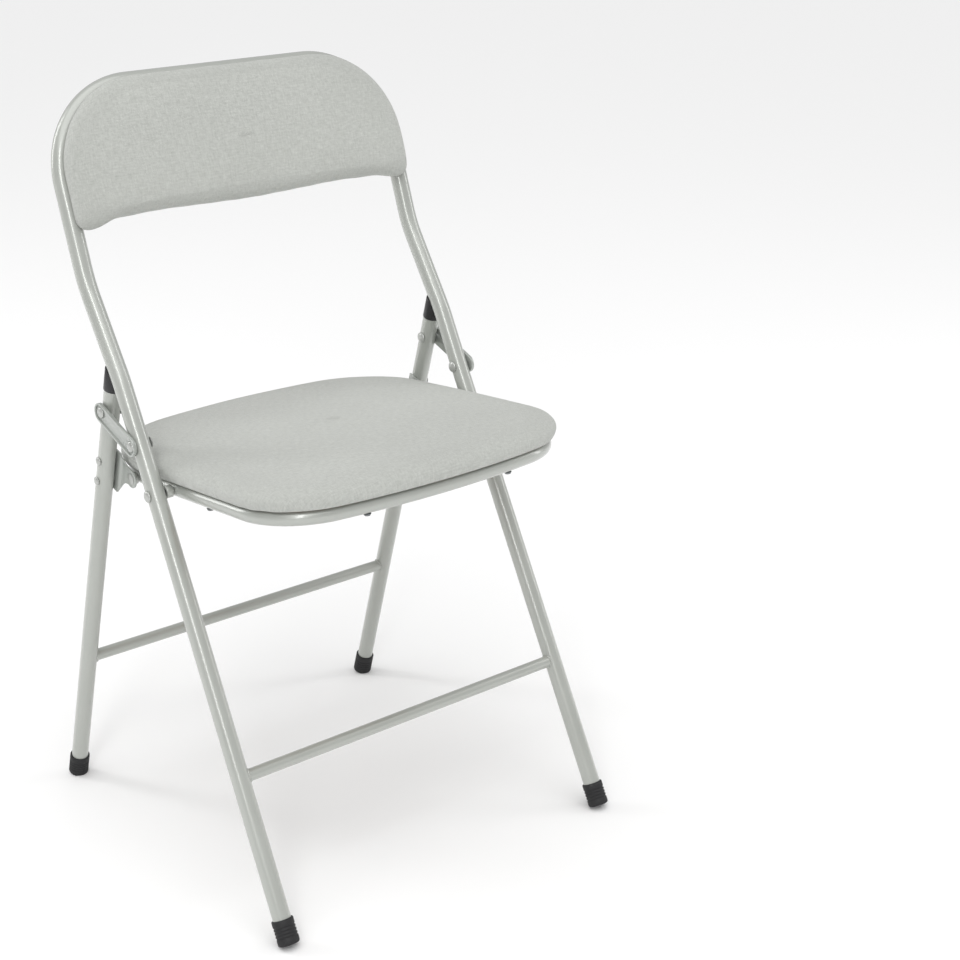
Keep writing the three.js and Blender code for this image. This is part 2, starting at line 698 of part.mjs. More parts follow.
const lug = {
  forward:
    (legPivot.y - gussetPivot.y) * Math.cos(rearAngle) +
    (legPivot.z - gussetPivot.z) * Math.sin(rearAngle),
  down:
    (gussetPivot.y - legPivot.y) * Math.sin(rearAngle) +
    (legPivot.z - gussetPivot.z) * Math.cos(rearAngle),
};

// Its outline round the lug is drawn in shares of the lug's radius.
function gussetShape() {
  const shape = new THREE.Shape();
  const to = (forward, down) => Object.values(legPlace(forward, down));
  const r = GUSSET_LUG_RADIUS;
  shape.moveTo(...to(-GUSSET_HEEL, GUSSET_TOP));
  shape.lineTo(...to(-GUSSET_HEEL, GUSSET_BOTTOM));
  shape.lineTo(...to(rearRadius + GUSSET_MARGIN, GUSSET_BOTTOM));
  shape.quadraticCurveTo(
    ...to(rearRadius + r, lug.down + 0.75 * r),
    ...to(lug.forward, lug.down + r)
  );
  shape.quadraticCurveTo(
    ...to(lug.forward + 0.95 * r, lug.down + r),
    ...to(lug.forward + r, lug.down)
  );
  shape.quadraticCurveTo(
    ...to(lug.forward + 0.95 * r, lug.down - r),
    ...to(lug.forward - 0.1 * r, lug.down - r)
  );
  shape.bezierCurveTo(
    ...to(lug.forward - 1.1 * r, lug.down - r),
    ...to(rearRadius + 0.5 * r, GUSSET_TOP + r),
    ...to(rearRadius, GUSSET_TOP)
  );
  return shape;
}

// A hole right through the gusset and the leg, for a pin or a rivet of a radius.
const sideHole = (place, radius) =>
  crosswise(place, gussetInner - OVERRUN, rearOuter + OVERRUN, radius + PIN_CLEARANCE);
const rivetHoles = () =>
  GUSSET_RIVETS.map((distance) => sideHole(legPlace(0, distance), RIVET_RADIUS));

// The sheet steps inwards between the leg and the lug.
function gusset() {
  const outline = sidePlate(gussetShape(), gussetInner - OVERRUN, gussetFoot + OVERRUN);
  const stepStart = rearRadius + GUSSET_MARGIN;
  const far = GUSSET_BOTTOM + OVERRUN;
  const stepEnd = stepStart + 2 * GUSSET_JOGGLE;
  const section = new THREE.Shape();
  section.moveTo(-far, gussetFoot - GUSSET_SHEET);
  section.lineTo(stepStart, gussetFoot - GUSSET_SHEET);
  section.lineTo(stepEnd, gussetInner);
  section.lineTo(far, gussetInner);
  section.lineTo(far, gussetLug);
  section.lineTo(stepEnd, gussetLug);
  section.lineTo(stepStart, gussetFoot);
  section.lineTo(-far, gussetFoot);
  const sheet = new THREE.ExtrudeGeometry(section, { depth: 2 * far, bevelEnabled: false });
  const forward = new THREE.Vector3(0, -Math.cos(rearAngle), -Math.sin(rearAngle));
  const up = new THREE.Vector3(0, -Math.sin(rearAngle), Math.cos(rearAngle));
  const out = new THREE.Vector3(1, 0, 0);
  sheet.translate(0, 0, -2 * far).applyMatrix4(new THREE.Matrix4().makeBasis(forward, out, up));
  sheet.translate(0, legPivot.y, legPivot.z);
  return cut(overlapOf(sheet, outline), sideHole(gussetPivot, PIN_RADIUS), ...rivetHoles());
}

function rearLeg() {
  const bar = tube([legEnd(rearLegAt, rearRadius, rearAngle), rearLegAt(REAR_LEG_TOP)], REAR_TUBE);
  return cut(bar, sideHole(legPivot, PIN_RADIUS), ...rivetHoles());
}

function gussetRivet(distance) {
  const inner = gussetFoot - GUSSET_SHEET - GAP;
  const outer = rearOuter + GAP;
  return turned(
    [
      ...domeProfile(inner, inner - RIVET_HEAD_HEIGHT, RIVET_HEAD_RADIUS).reverse(),
      [inner, RIVET_RADIUS],
      [outer, RIVET_RADIUS],
      ...domeProfile(outer, outer + RIVET_HEAD_HEIGHT, RIVET_HEAD_RADIUS),
    ],
    legPlace(0, distance),
    TUBE_SIDES
  );
}

// Pin in the rear leg for the link: its inner head shows, and its outer end stops at the link.
function legPivotPin() {
  const inner = rearInner - GAP;
  return turned(
    [
      ...domeProfile(inner, inner - PIN_HEAD_HEIGHT, PIN_HEAD_RADIUS).reverse(),
      [inner, PIN_RADIUS],
      [linkInner - GAP, PIN_RADIUS],
      [linkInner - GAP, 0],
    ],
    legPivot
  );
}

// Plastic bumper in the leg's top, hollowed in front where it rests against the front tube.
function bumper() {
  const along = rearLegAt(REAR_LEG_TOP).sub(rearLegAt(0)).normalize();
  const end = rearLegAt(REAR_LEG_TOP);
  const upTo = (distance) => end.clone().addScaledVector(along, distance);
  const nose = rod(upTo(GAP), upTo(BUMPER_LENGTH), rearRadius + BUMPER_OVERSIZE, ROUND_SIDES);
  const boreFlat = (rearRadius - TUBE_WALL) * Math.cos(Math.PI / BORE_SIDES);
  const plug = rod(upTo(-BUMPER_PLUG), upTo(2 * GAP), boreFlat - GAP, TUBE_SIDES);
  const waist = [KNEE_HEIGHT, WAIST_HEIGHT, LUMBAR_HEIGHT].map(frontTubeAt);
  const saddle = sweep(roundedPath(waist, [WAIST_RADIUS]), frameRadius + GAP);
  const rest = frontTubeAt(WAIST_HEIGHT);
  const lean = Math.atan((LEG_SLOPE + WAIST_SLOPE) / 2);
  const size = 10 * FRAME_TUBE;
  const front = new THREE.BoxGeometry(size, size, size);
  front.translate(0, BUMPER_REST - size / 2, 0).rotateX(-lean).translate(rest.x, rest.y, rest.z);
  return cut(join(nose, plug), front, saddle);
}

// ---------------------------------------------------------------- links

function roundEndedShape(from, to, radius) {
  const angle = Math.atan2(to.z - from.z, to.y - from.y);
  const shape = new THREE.Shape();
  shape.absarc(to.y, to.z, radius, angle - Math.PI / 2, angle + Math.PI / 2, false);
  shape.absarc(from.y, from.z, radius, angle + Math.PI / 2, angle + 1.5 * Math.PI, false);
  return shape;
}

// A dished link on the outside of both tubes, its rim turned outwards.
function linkPlate() {
  const slab = sidePlate(
    roundEndedShape(linkPivot, legPivot, LINK_RADIUS), linkInner, linkInner + LINK_RIM_HEIGHT
  );
  const dish = sidePlate(
    roundEndedShape(linkPivot, legPivot, LINK_RADIUS - LINK_RIM_WIDTH), linkFace, linkFace + OVERRUN
  );
  const holes = [linkPivot, legPivot].map((pivot) =>
    crosswise(pivot, linkInner - OVERRUN, linkFace + OVERRUN, PIN_RADIUS + PIN_CLEARANCE)
  );
  return cut(slab, dish, ...holes);
}

// Head of the link's pin at the rear leg, with a stub that ends inside the link's sheet.
function linkEndRivet() {
  return turned(
    [
      [linkInner, 0],
      [linkInner, PIN_RADIUS],
      [linkFace + GAP, PIN_RADIUS],
      ...domeProfile(linkFace + GAP, linkFace + GAP + PIN_HEAD_HEIGHT, PIN_HEAD_RADIUS),
    ],
    legPivot
  );
}

// ---------------------------------------------------------------- assembly

const chair = new THREE.Group();
chair.name = 'folding_chair';

chair.add(
  piece('front_frame_tube', frontFrameTube(), paint()),
  piece('front_crossbar', crossbar(FRONT_CROSSBAR_HEIGHT, frontTubeAt, frameRadius), paint()),
  piece('back_pad', backPad(), fabric()),
  piece('back_board', backBoard(), board()),
  piece('seat_ring', seatRing(), paint()),
  piece('seat_board', seatBoard(), board()),
  piece('seat_cushion', seatCushion(), fabric()),
  piece('rear_crossbar', crossbar(REAR_CROSSBAR_HEIGHT, rearLegAt, rearRadius), paint())
);

// Everything that comes in pairs is built on the left and repeated mirrored on the right.
for (const [sideName, mirror] of [['left', 1], ['right', -1]]) {
  const side = new THREE.Group();
  side.scale.x = mirror;
  const add = (name, geometry, material) => side.add(piece(`${name}_${sideName}`, geometry, material));
  add('front_foot', foot(frontTubeAt, frameRadius, legAngle), rubber());
  add('rear_foot', foot(rearLegAt, rearRadius, rearAngle), rubber());
  add('rear_leg', rearLeg(), paint());
  add('rear_bumper', bumper(), blackPlastic());
  add('gusset', gusset(), plated());
  add('link_plate', linkPlate(), plated());
  add('link_end_rivet', linkEndRivet(), plated());
  add('seat_pivot_pin', seatPivotPin(), plated());
  add('seat_pivot_spacer', spacer(seatPivot, ringFace + GAP, seatTubeInner - GAP), paint());
  add('link_pivot_pin', linkPivotPin(), plated());
  add('leg_pivot_pin', legPivotPin(), plated());
  add('gusset_pivot_pin', gussetPivotPin(), plated());
  add('gusset_pivot_spacer', spacer(gussetPivot, ringFace + GAP, gussetInner - GAP), plated());
  GUSSET_RIVETS.forEach((distance, i) => {
    add(`gusset_rivet_${i + 1}`, gussetRivet(distance), plated());
  });
  BACK_FIXINGS.forEach(([place, turn], i) => {
    add(`back_tab_${i + 1}`, backTab(place, turn), paint());
    add(`back_screw_${i + 1}`, backScrew(place, turn), screwSteel());
  });
  SEAT_SCREWS.forEach((place, i) => {
    add(`seat_screw_${i + 1}`, seatScrew(place), screwSteel());
  });
  chair.add(side);
}

// The pivots' places, for anyone who moves the chair: each axis runs along X.
chair.userData.pivots = { seatPivot, linkPivot, legPivot, gussetPivot };

export default chair;
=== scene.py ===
# %% [markdown]
# # A padded folding chair
# The chair is a bent steel tube frame, painted light grey, with a padded seat and a padded back.
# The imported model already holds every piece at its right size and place. This lesson dresses it:
# tubes get smooth bends, the two pads get their fullness and cloth, and each surface gets a finish.

import math

import bmesh
import bpy
from mathutils import Matrix, Vector


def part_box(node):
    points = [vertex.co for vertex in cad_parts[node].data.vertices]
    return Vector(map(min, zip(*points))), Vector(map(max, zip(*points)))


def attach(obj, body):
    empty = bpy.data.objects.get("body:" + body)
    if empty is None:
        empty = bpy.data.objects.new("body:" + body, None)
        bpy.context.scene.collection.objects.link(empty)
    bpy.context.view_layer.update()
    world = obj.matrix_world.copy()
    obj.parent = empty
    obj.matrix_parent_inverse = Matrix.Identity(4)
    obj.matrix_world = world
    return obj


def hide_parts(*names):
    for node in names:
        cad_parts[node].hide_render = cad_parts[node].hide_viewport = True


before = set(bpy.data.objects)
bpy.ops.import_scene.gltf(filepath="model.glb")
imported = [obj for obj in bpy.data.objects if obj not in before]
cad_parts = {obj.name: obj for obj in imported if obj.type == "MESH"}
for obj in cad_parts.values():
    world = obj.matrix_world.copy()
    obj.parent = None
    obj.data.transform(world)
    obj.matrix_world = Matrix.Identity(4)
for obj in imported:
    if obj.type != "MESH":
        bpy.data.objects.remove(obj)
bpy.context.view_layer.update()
MM = 0.001


# %% [markdown]
# ## Camera
# A long lens from a little above and from the chair's right. The camera looks at one point near the
# seat, and its turn comes from that line of sight, so it never tips sideways.

# %% Camera
AZIMUTH = math.radians(-39.456)
ELEVATION = math.radians(21.198)
DISTANCE = 1.7997
FOCAL_LENGTH, SENSOR_WIDTH = 70.68, 36.0
LOOK_AT = Vector((0.0004, -0.2656, 0.4592))

backwards = Vector((
    math.sin(AZIMUTH) * math.cos(ELEVATION),
    -math.cos(AZIMUTH) * math.cos(ELEVATION),
    math.sin(ELEVATION),
))
lens = bpy.data.cameras.new("Camera")
lens.lens = FOCAL_LENGTH
lens.sensor_width = SENSOR_WIDTH
camera = bpy.data.objects.new("Camera", lens)
camera.location = LOOK_AT + DISTANCE * backwards
camera.rotation_mode = "QUATERNION"
camera.rotation_quaternion = (-backwards).to_track_quat("-Z", "Y")
bpy.context.collection.objects.link(camera)
bpy.context.scene.camera = camera
print("camera at", [round(value, 3) for value in camera.location])


# %% [markdown]
# ## Places
# Each pivot is read off the box of a piece that is centred on it. The tubes run straight through
# the pivots at known slopes, so every tube's line follows from them.

# %% Pivots and tube lines
def centre_of(node):
    low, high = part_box(node)
    return (Vector(low) + Vector(high)) / 2


LEG_SLOPE, WAIST_SLOPE, BACK_SLOPE, REAR_SLOPE = 0.525, 0.667, 0.35, 0.302
WAIST, LUMBAR, TOP, KNEE = 0.522, 0.6095, 0.793, 0.450
HALF_WIDTH, SPLAY = 0.204, 0.005
FRAME_RADIUS, REAR_RADIUS, SEAT_RADIUS, BAR_RADIUS = 0.0095, 0.00925, 0.008, 0.0065

seat_pivot = centre_of("seat_pivot_spacer_left")
link_pivot = centre_of("link_pivot_pin_left")
leg_pivot = centre_of("link_end_rivet_left")
gusset_pivot = centre_of("gusset_pivot_spacer_left")
front_floor = seat_pivot.y - LEG_SLOPE * seat_pivot.z


def front_y(z):
    waist = front_floor + LEG_SLOPE * WAIST
    lumbar = waist + WAIST_SLOPE * (LUMBAR - WAIST)
    if z <= WAIST:
        return front_floor + LEG_SLOPE * z
    if z <= LUMBAR:
        return waist + WAIST_SLOPE * (z - WAIST)
    return lumbar + BACK_SLOPE * (z - LUMBAR)


def front_at(z):
    return Vector((HALF_WIDTH + SPLAY * (1 - min(z, KNEE) / KNEE), front_y(z), z))


def rear_at(z):
    return Vector((HALF_WIDTH, leg_pivot.y - REAR_SLOPE * (z - leg_pivot.z), z))


print("pivots", [[round(v, 4) for v in p] for p in (seat_pivot, link_pivot, leg_pivot, gusset_pivot)])


# %% [markdown]
# ## Node helpers
# Shader trees and geometry trees are wired the same way, so small helpers serve both: one adds a
# node and fills in its sockets, one joins two sockets, and the rest make short chains that recur.

# %% Node helpers
def add_node(tree, kind, settings=None, **values):
    node = tree.nodes.new(kind)
    for key, value in (settings or {}).items():
        setattr(node, key, value)
    for key, value in values.items():
        node.inputs[key.replace("_", " ")].default_value = value
    return node


def wire(tree, start, end):
    tree.links.new(start, end)


def arithmetic(tree, operation, first, second=None):
    node = tree.nodes.new("ShaderNodeMath")
    node.operation = operation
    for socket, value in zip(node.inputs, (first, second)):
        if value is None:
            continue
        if isinstance(value, (int, float)):
            socket.default_value = value
        else:
            tree.links.new(value, socket)
    return node.outputs[0]


def average(tree, first, second):
    return arithmetic(tree, "MULTIPLY", arithmetic(tree, "ADD", first, second), 0.5)


def ranged(tree, value, low=0.0, high=1.0, to_low=0.0, to_high=1.0):
    """How far the value is on the way from low to high, laid onto the new range."""
    node = add_node(
        tree, "ShaderNodeMapRange", From_Min=low, From_Max=high, To_Min=to_low, To_Max=to_high)
    wire(tree, value, node.inputs["Value"])
    return node.outputs[0]


def stretched_noise(tree, vector, stretch, detail, roughness):
    scaled = add_node(tree, "ShaderNodeVectorMath", {"operation": "MULTIPLY"})
    scaled.inputs[1].default_value = stretch
    wire(tree, vector, scaled.inputs[0])
    noise = add_node(tree, "ShaderNodeTexNoise", Scale=1.0, Detail=detail, Roughness=roughness)
    wire(tree, scaled.outputs[0], noise.inputs["Vector"])
    return noise.outputs["Fac"]


def mix_colours(tree, factor, first, second, blend="MIX"):
    """Each of the two is a colour or a socket that gives one."""
    node = add_node(tree, "ShaderNodeMix", {"data_type": "RGBA", "blend_type": blend})
    wire(tree, factor, node.inputs[0])
    for socket, value in ((node.inputs[6], first), (node.inputs[7], second)):
        if isinstance(value, tuple):
            socket.default_value = (*value, 1)
        else:
            wire(tree, value, socket)
    return node.outputs[2]


def add_bump(tree, shader, height, strength, distance):
    bump = add_node(tree, "ShaderNodeBump", Strength=strength, Distance=distance)
    wire(tree, height, bump.inputs["Height"])
    wire(tree, bump.outputs[0], shader.inputs["Normal"])


def new_material(name):
    material = bpy.data.materials.new(name)
    material.use_nodes = True
    return material, material.node_tree, material.node_tree.nodes["Principled BSDF"]


def new_group(name, kind, inputs, outputs):
    tree = bpy.data.node_groups.new(name, kind)
    for label, socket_type, default in inputs:
        socket = tree.interface.new_socket(label, in_out="INPUT", socket_type=socket_type)
        if default is not None:
            socket.default_value = default
    for label, socket_type in outputs:
        tree.interface.new_socket(label, in_out="OUTPUT", socket_type=socket_type)
    return tree, tree.nodes.new("NodeGroupInput"), tree.nodes.new("NodeGroupOutput")


FLOAT, VECTOR, GEOMETRY = "NodeSocketFloat", "NodeSocketVector", "NodeSocketGeometry"


# %% [markdown]
# ## The cloth's weave
# The covers are a heathered canvas: a plain weave of grey yarns, some lighter and some darker. In a
# plain weave the warp and the weft take turns on top, like the squares of a chessboard. Two sines
# give the squares, and noise stretched along each yarn gives the flecks. The low parts between the
# yarns are painted darker, as painted shade. The pattern reads an attribute laid over the cloth, so it
# follows the pad round its edges.

# %% Weave group
def weave_group():
    tree, start, end = new_group(
        "Canvas weave", "ShaderNodeTree",
        [("Vector", VECTOR, None), ("Yarns per metre", FLOAT, 700.0), ("Fleck", FLOAT, 0.5)],
        [("Shade", FLOAT), ("Height", FLOAT)],
    )
    split = add_node(tree, "ShaderNodeSeparateXYZ")
    wire(tree, start.outputs["Vector"], split.inputs[0])
    waves = []
    for axis in ("X", "Y"):
        turns = arithmetic(tree, "MULTIPLY", split.outputs[axis], start.outputs["Yarns per metre"])
        waves.append(arithmetic(tree, "SINE", arithmetic(tree, "MULTIPLY", turns, math.pi)))
    warp_on_top = ranged(tree, arithmetic(tree, "MULTIPLY", waves[0], waves[1]), -0.2, 0.2)
    flecks = [stretched_noise(tree, start.outputs["Vector"], stretch, 3.0, 0.65)
              for stretch in ((520.0, 120.0, 90.0), (120.0, 520.0, 90.0))]

    def taking_turns(weft, warp):
        mix = add_node(tree, "ShaderNodeMix")
        wire(tree, warp_on_top, mix.inputs["Factor"])
        wire(tree, weft, mix.inputs["A"])
        wire(tree, warp, mix.inputs["B"])
        return mix.outputs["Result"]

    humps = [arithmetic(tree, "ABSOLUTE", wave) for wave in waves]
    height = taking_turns(humps[1], humps[0])
    yarn = taking_turns(flecks[1], flecks[0])
    contrast = ranged(tree, average(tree, yarn, average(tree, *flecks)), 0.33, 0.67)
    centred = arithmetic(tree, "SUBTRACT", contrast, 0.5)
    fleck = arithmetic(tree, "MULTIPLY", centred, start.outputs["Fleck"])
    # painted shade: the low parts of the weave between the yarns are made darker
    painted_groove_shade = arithmetic(tree, "MULTIPLY", arithmetic(tree, "SUBTRACT", height, 0.64), 0.25)
    shade = arithmetic(tree, "ADD", arithmetic(tree, "ADD", fleck, 0.5), painted_groove_shade)
    wire(tree, shade, end.inputs["Shade"])
    wire(tree, height, end.inputs["Height"])
    return tree


canvas_weave = weave_group()
print("weave group:", len(canvas_weave.nodes), "nodes")


# %% [markdown]
# ## Cloudiness and wear
# No painted or moulded surface is perfectly even. One group gives slow cloudy change, the fine
# pebbling of a powder coat or moulded rubber, and a scatter of small rubs where hands and floors
# touch the frame. Every hard material uses it, each with its own values.

# %% Surface group
def surface_group():
    tree, start, end = new_group(
        "Even wear", "ShaderNodeTree",
        [("Vector", VECTOR, None), ("Cloud scale", FLOAT, 14.0), ("Pebble scale", FLOAT, 900.0),
         ("Rub amount", FLOAT, 0.3)],
        [("Cloud", FLOAT), ("Pebble", FLOAT), ("Rub", FLOAT)],
    )

    def noise(scale, detail):
        made = add_node(tree, "ShaderNodeTexNoise", Detail=detail, Roughness=0.55)
        wire(tree, start.outputs["Vector"], made.inputs["Vector"])
        if isinstance(scale, float):
            made.inputs["Scale"].default_value = scale
        else:
            wire(tree, scale, made.inputs["Scale"])
        return made.outputs["Fac"]

    wire(tree, noise(start.outputs["Cloud scale"], 4.0), end.inputs["Cloud"])
    wire(tree, noise(start.outputs["Pebble scale"], 1.0), end.inputs["Pebble"])
    patch = ranged(tree, noise(22.0, 5.0), 0.60, 0.72)
    grain = ranged(tree, noise(380.0, 3.0), 0.52, 0.66)
    rub = arithmetic(tree, "MULTIPLY", patch, grain)
    wire(tree, arithmetic(tree, "MULTIPLY", rub, start.outputs["Rub amount"]), end.inputs["Rub"])
    return tree


even_wear = surface_group()
print("surface group:", len(even_wear.nodes), "nodes")


# %% [markdown]
# ## Hard materials
# Each hard finish is one Principled shader. The group's cloud mixes two near colours, its rubs mix
# in a third, its cloud also moves the roughness, and its pebbling drives a shallow bump.

# %% Hard materials
def hard_material(name, dark, light, rubbed, roughness, metallic=0.0, coat=0.0, pebble=(900.0, 0.03),
                  cloud_scale=14.0, rub=0.3, specular=0.5):
    material, tree, shader = new_material(name)
    for socket, value in (("Metallic", metallic), ("Coat Weight", coat), ("Coat Roughness", 0.12),
                          ("Specular IOR Level", specular)):
        shader.inputs[socket].default_value = value
    where = add_node(tree, "ShaderNodeTexCoord")
    group = add_node(tree, "ShaderNodeGroup", {"node_tree": even_wear},
                     Cloud_scale=cloud_scale, Pebble_scale=pebble[0], Rub_amount=rub)
    wire(tree, where.outputs["Object"], group.inputs["Vector"])
    cloud = group.outputs["Cloud"]
    base = mix_colours(tree, cloud, dark, light)
    worn = mix_colours(tree, group.outputs["Rub"], base, rubbed)
    wire(tree, worn, shader.inputs["Base Color"])
    wire(tree, ranged(tree, cloud, 0.3, 0.7, *roughness), shader.inputs["Roughness"])
    add_bump(tree, shader, group.outputs["Pebble"], pebble[1], MM)
    return material


paint = hard_material(
    "light_grey_powder_coat", (0.40, 0.415, 0.385), (0.455, 0.47, 0.44), (0.52, 0.53, 0.50),
    (0.28, 0.38), metallic=0.25, coat=0.8, pebble=(650.0, 0.06), rub=0.07)
painted_plate = hard_material(
    "painted_sheet", (0.36, 0.38, 0.36), (0.43, 0.45, 0.42), (0.28, 0.28, 0.27),
    (0.26, 0.38), metallic=0.3, coat=0.5, pebble=(800.0, 0.06), rub=0.15)
rivet_steel = hard_material(
    "rivet_steel", (0.42, 0.43, 0.41), (0.55, 0.56, 0.54), (0.25, 0.25, 0.24),
    (0.22, 0.38), metallic=0.55, pebble=(1200.0, 0.06), rub=0.4)
screw_steel = hard_material(
    "screw_steel", (0.16, 0.17, 0.17), (0.27, 0.28, 0.29), (0.42, 0.42, 0.42),
    (0.28, 0.45), metallic=0.9, pebble=(1500.0, 0.06), rub=0.5)
foot_rubber = hard_material(
    "foot_rubber", (0.010, 0.010, 0.011), (0.022, 0.022, 0.023), (0.10, 0.10, 0.095),
    (0.52, 0.72), pebble=(1400.0, 0.25), rub=0.5, specular=0.4)
bumper_plastic = hard_material(
    "bumper_plastic", (0.012, 0.012, 0.014), (0.020, 0.020, 0.022), (0.08, 0.08, 0.08),
    (0.32, 0.46), pebble=(1100.0, 0.12), rub=0.3)
print("hard materials ready")


# %% [markdown]
# ## Hardboard
# The stiff panels under the pads are pressed fibre board. It is brown and matt, and short fibres
# lie in it in every direction, so its grain is noise pulled out one way and then the other.

# %% Board material
def board_material():
    material, tree, shader = new_material("pressed_board")
    where = add_node(tree, "ShaderNodeTexCoord")
    both = average(tree, *(stretched_noise(tree, where.outputs["Object"], stretch, 5.0, 0.7)
                           for stretch in ((300.0, 40.0, 300.0), (55.0, 340.0, 90.0))))
    ramp = add_node(tree, "ShaderNodeValToRGB")
    stops = ((0.32, (0.11, 0.065, 0.036, 1)), (0.68, (0.27, 0.175, 0.105, 1)))
    for stop, (position, colour) in zip(ramp.color_ramp.elements, stops):
        stop.position = position
        stop.color = colour
    wire(tree, both, ramp.inputs["Fac"])
    wire(tree, ramp.outputs["Color"], shader.inputs["Base Color"])
    wire(tree, ranged(tree, both, to_low=0.62, to_high=0.85), shader.inputs["Roughness"])
    add_bump(tree, shader, both, 0.25, 0.6 * MM)
    return material


pressed_board = board_material()
print("board material ready")


# %% [markdown]
# ## Canvas
# The cloth mixes a darker and a lighter grey by the weave's shade, with slow changes of tone over
# the pad as handled fabric has. A little sheen lifts its edges, as the loose fibres of canvas do.

# %% Canvas material
def canvas_material():
    material, tree, shader = new_material("grey_canvas")
    for socket, value in (("Sheen Weight", 0.25), ("Sheen Roughness", 0.5), ("Specular IOR Level", 0.2)):
        shader.inputs[socket].default_value = value
    cloth = add_node(tree, "ShaderNodeAttribute", {"attribute_name": "cloth"})
    weave = add_node(tree, "ShaderNodeGroup", {"node_tree": canvas_weave}, Yarns_per_metre=720.0, Fleck=0.55)
    wire(tree, cloth.outputs["Vector"], weave.inputs["Vector"])
    tone = mix_colours(tree, weave.outputs["Shade"], (0.36, 0.37, 0.345), (0.63, 0.645, 0.61))
    where = add_node(tree, "ShaderNodeTexCoord")
    wear = add_node(tree, "ShaderNodeGroup", {"node_tree": even_wear}, Cloud_scale=9.0)
    wire(tree, where.outputs["Object"], wear.inputs["Vector"])
    soft = ranged(tree, wear.outputs["Cloud"], 0.3, 0.7, 0.0, 0.30)
    worn = mix_colours(tree, soft, tone, (0.80, 0.80, 0.80), "MULTIPLY")
    wire(tree, worn, shader.inputs["Base Color"])
    rough = ranged(tree, weave.outputs["Height"], to_low=0.95, to_high=0.80)
    wire(tree, rough, shader.inputs["Roughness"])
    add_bump(tree, shader, weave.outputs["Height"], 0.55, 0.5 * MM)
    return material


grey_canvas = canvas_material()
print("canvas ready")


# %% [markdown]
# ## Growing a piece from a path
# A bent tube is a line with a round section carried along it. Geometry Nodes do exactly that: the
# path goes in as a mesh of edges, and comes out as a tube. The result is turned into a plain mesh,
# whose faces are then turned outwards.

# %% Growing helper
def grow(name, points, edges, tree, inputs, attributes=None):
    seed = bpy.data.meshes.new(name + "_seed")
    seed.from_pydata([tuple(point) for point in points], edges, [])
    for key, values in (attributes or {}).items():
        layer = seed.attributes.new(key, "FLOAT_VECTOR", "POINT")
        layer.data.foreach_set("vector", [number for value in values for number in value])
    holder = bpy.data.objects.new(name + "_seed", seed)
    bpy.context.collection.objects.link(holder)
    modifier = holder.modifiers.new("Grow", "NODES")
    modifier.node_group = tree
    sockets = {item.name: item.identifier for item in tree.interface.items_tree if item.in_out == "INPUT"}
    for key, value in inputs.items():
        modifier[sockets[key]] = value
    bpy.context.view_layer.update()
    grown = bpy.data.meshes.new_from_object(holder.evaluated_get(bpy.context.evaluated_depsgraph_get()))
    bpy.data.objects.remove(holder)
    shell = bmesh.new()
    shell.from_mesh(grown)
    if shell.calc_volume(signed=True) < 0:
        bmesh.ops.reverse_faces(shell, faces=shell.faces)
    shell.to_mesh(grown)
    shell.free()
    grown.name = name
    piece = bpy.data.objects.new(name, grown)
    bpy.context.collection.objects.link(piece)
    print(name, len(grown.polygons), "faces")
    return piece


def chain(count, closed=False):
    edges = [(i, i + 1) for i in range(count - 1)]
    return edges + [(count - 1, 0)] if closed else edges


def finish_tree(tree, geometry, start, end):
    """Makes instances real, shades them smooth and gives them the tree's own finish."""
    real = add_node(tree, "GeometryNodeRealizeInstances")
    smooth = add_node(tree, "GeometryNodeSetShadeSmooth")
    dress = add_node(tree, "GeometryNodeSetMaterial")
    wire(tree, geometry, real.inputs[0])
    wire(tree, real.outputs[0], smooth.inputs["Geometry"])
    wire(tree, smooth.outputs[0], dress.inputs["Geometry"])
    wire(tree, start.outputs["Finish"], dress.inputs["Material"])
    wire(tree, dress.outputs[0], end.inputs[0])


def tube_tree():
    tree, start, end = new_group(
        "Bent tube", "GeometryNodeTree",
        [("Path", GEOMETRY, None), ("Radius", FLOAT, 0.01), ("Sides", "NodeSocketInt", 32),
         ("Finish", "NodeSocketMaterial", None)],
        [("Tube", GEOMETRY)],
    )
    curve = add_node(tree, "GeometryNodeMeshToCurve")
    section = add_node(tree, "GeometryNodeCurvePrimitiveCircle")
    sweep = add_node(tree, "GeometryNodeCurveToMesh", Fill_Caps=True)
    wire(tree, start.outputs["Path"], curve.inputs["Mesh"])
    wire(tree, start.outputs["Radius"], section.inputs["Radius"])
    wire(tree, start.outputs["Sides"], section.inputs["Resolution"])
    wire(tree, curve.outputs[0], sweep.inputs["Curve"])
    wire(tree, section.outputs[0], sweep.inputs["Profile Curve"])
    finish_tree(tree, sweep.outputs[0], start, end)
    return tree


bent_tube = tube_tree()


# %% [markdown]
# ## Bends
# A tube bender makes round corners, so a path is a line of corners with an arc at each one. Small
# steps along each arc keep the finished bend smooth.

# %% Rounded paths
BEND_STEP = math.radians(3.0)
TUBE_SIDES, FRAME_SIDES = 36, 40


def round_corner(before, corner, after, radius):
    back = (before - corner).normalized()
    ahead = (after - corner).normalized()
    turn = math.pi - back.angle(ahead)
    centre = corner + (back + ahead).normalized() * (radius / math.cos(turn / 2))
    start = corner + back * (radius * math.tan(turn / 2)) - centre
    axis = back.cross(ahead).normalized()
    steps = 2 * max(1, math.ceil(turn / BEND_STEP / 2))
    return [centre + Matrix.Rotation(-turn * k / steps, 3, axis) @ start for k in range(steps + 1)]


def rounded_path(corners, radii):
    path = [corners[0]]
    for before, corner, after, radius in zip(corners, corners[1:], corners[2:], radii):
        path += round_corner(before, corner, after, radius)
    return path + [corners[-1]]


def mirrored(point):
    return Vector((-point.x, point.y, point.z))


def tube(name, path, radius, body, node, closed=False, sides=TUBE_SIDES):
    piece = grow(name, path, chain(len(path), closed), bent_tube,
                 {"Radius": radius, "Sides": sides, "Finish": paint})
    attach(piece, body)
    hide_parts(node)
    return piece


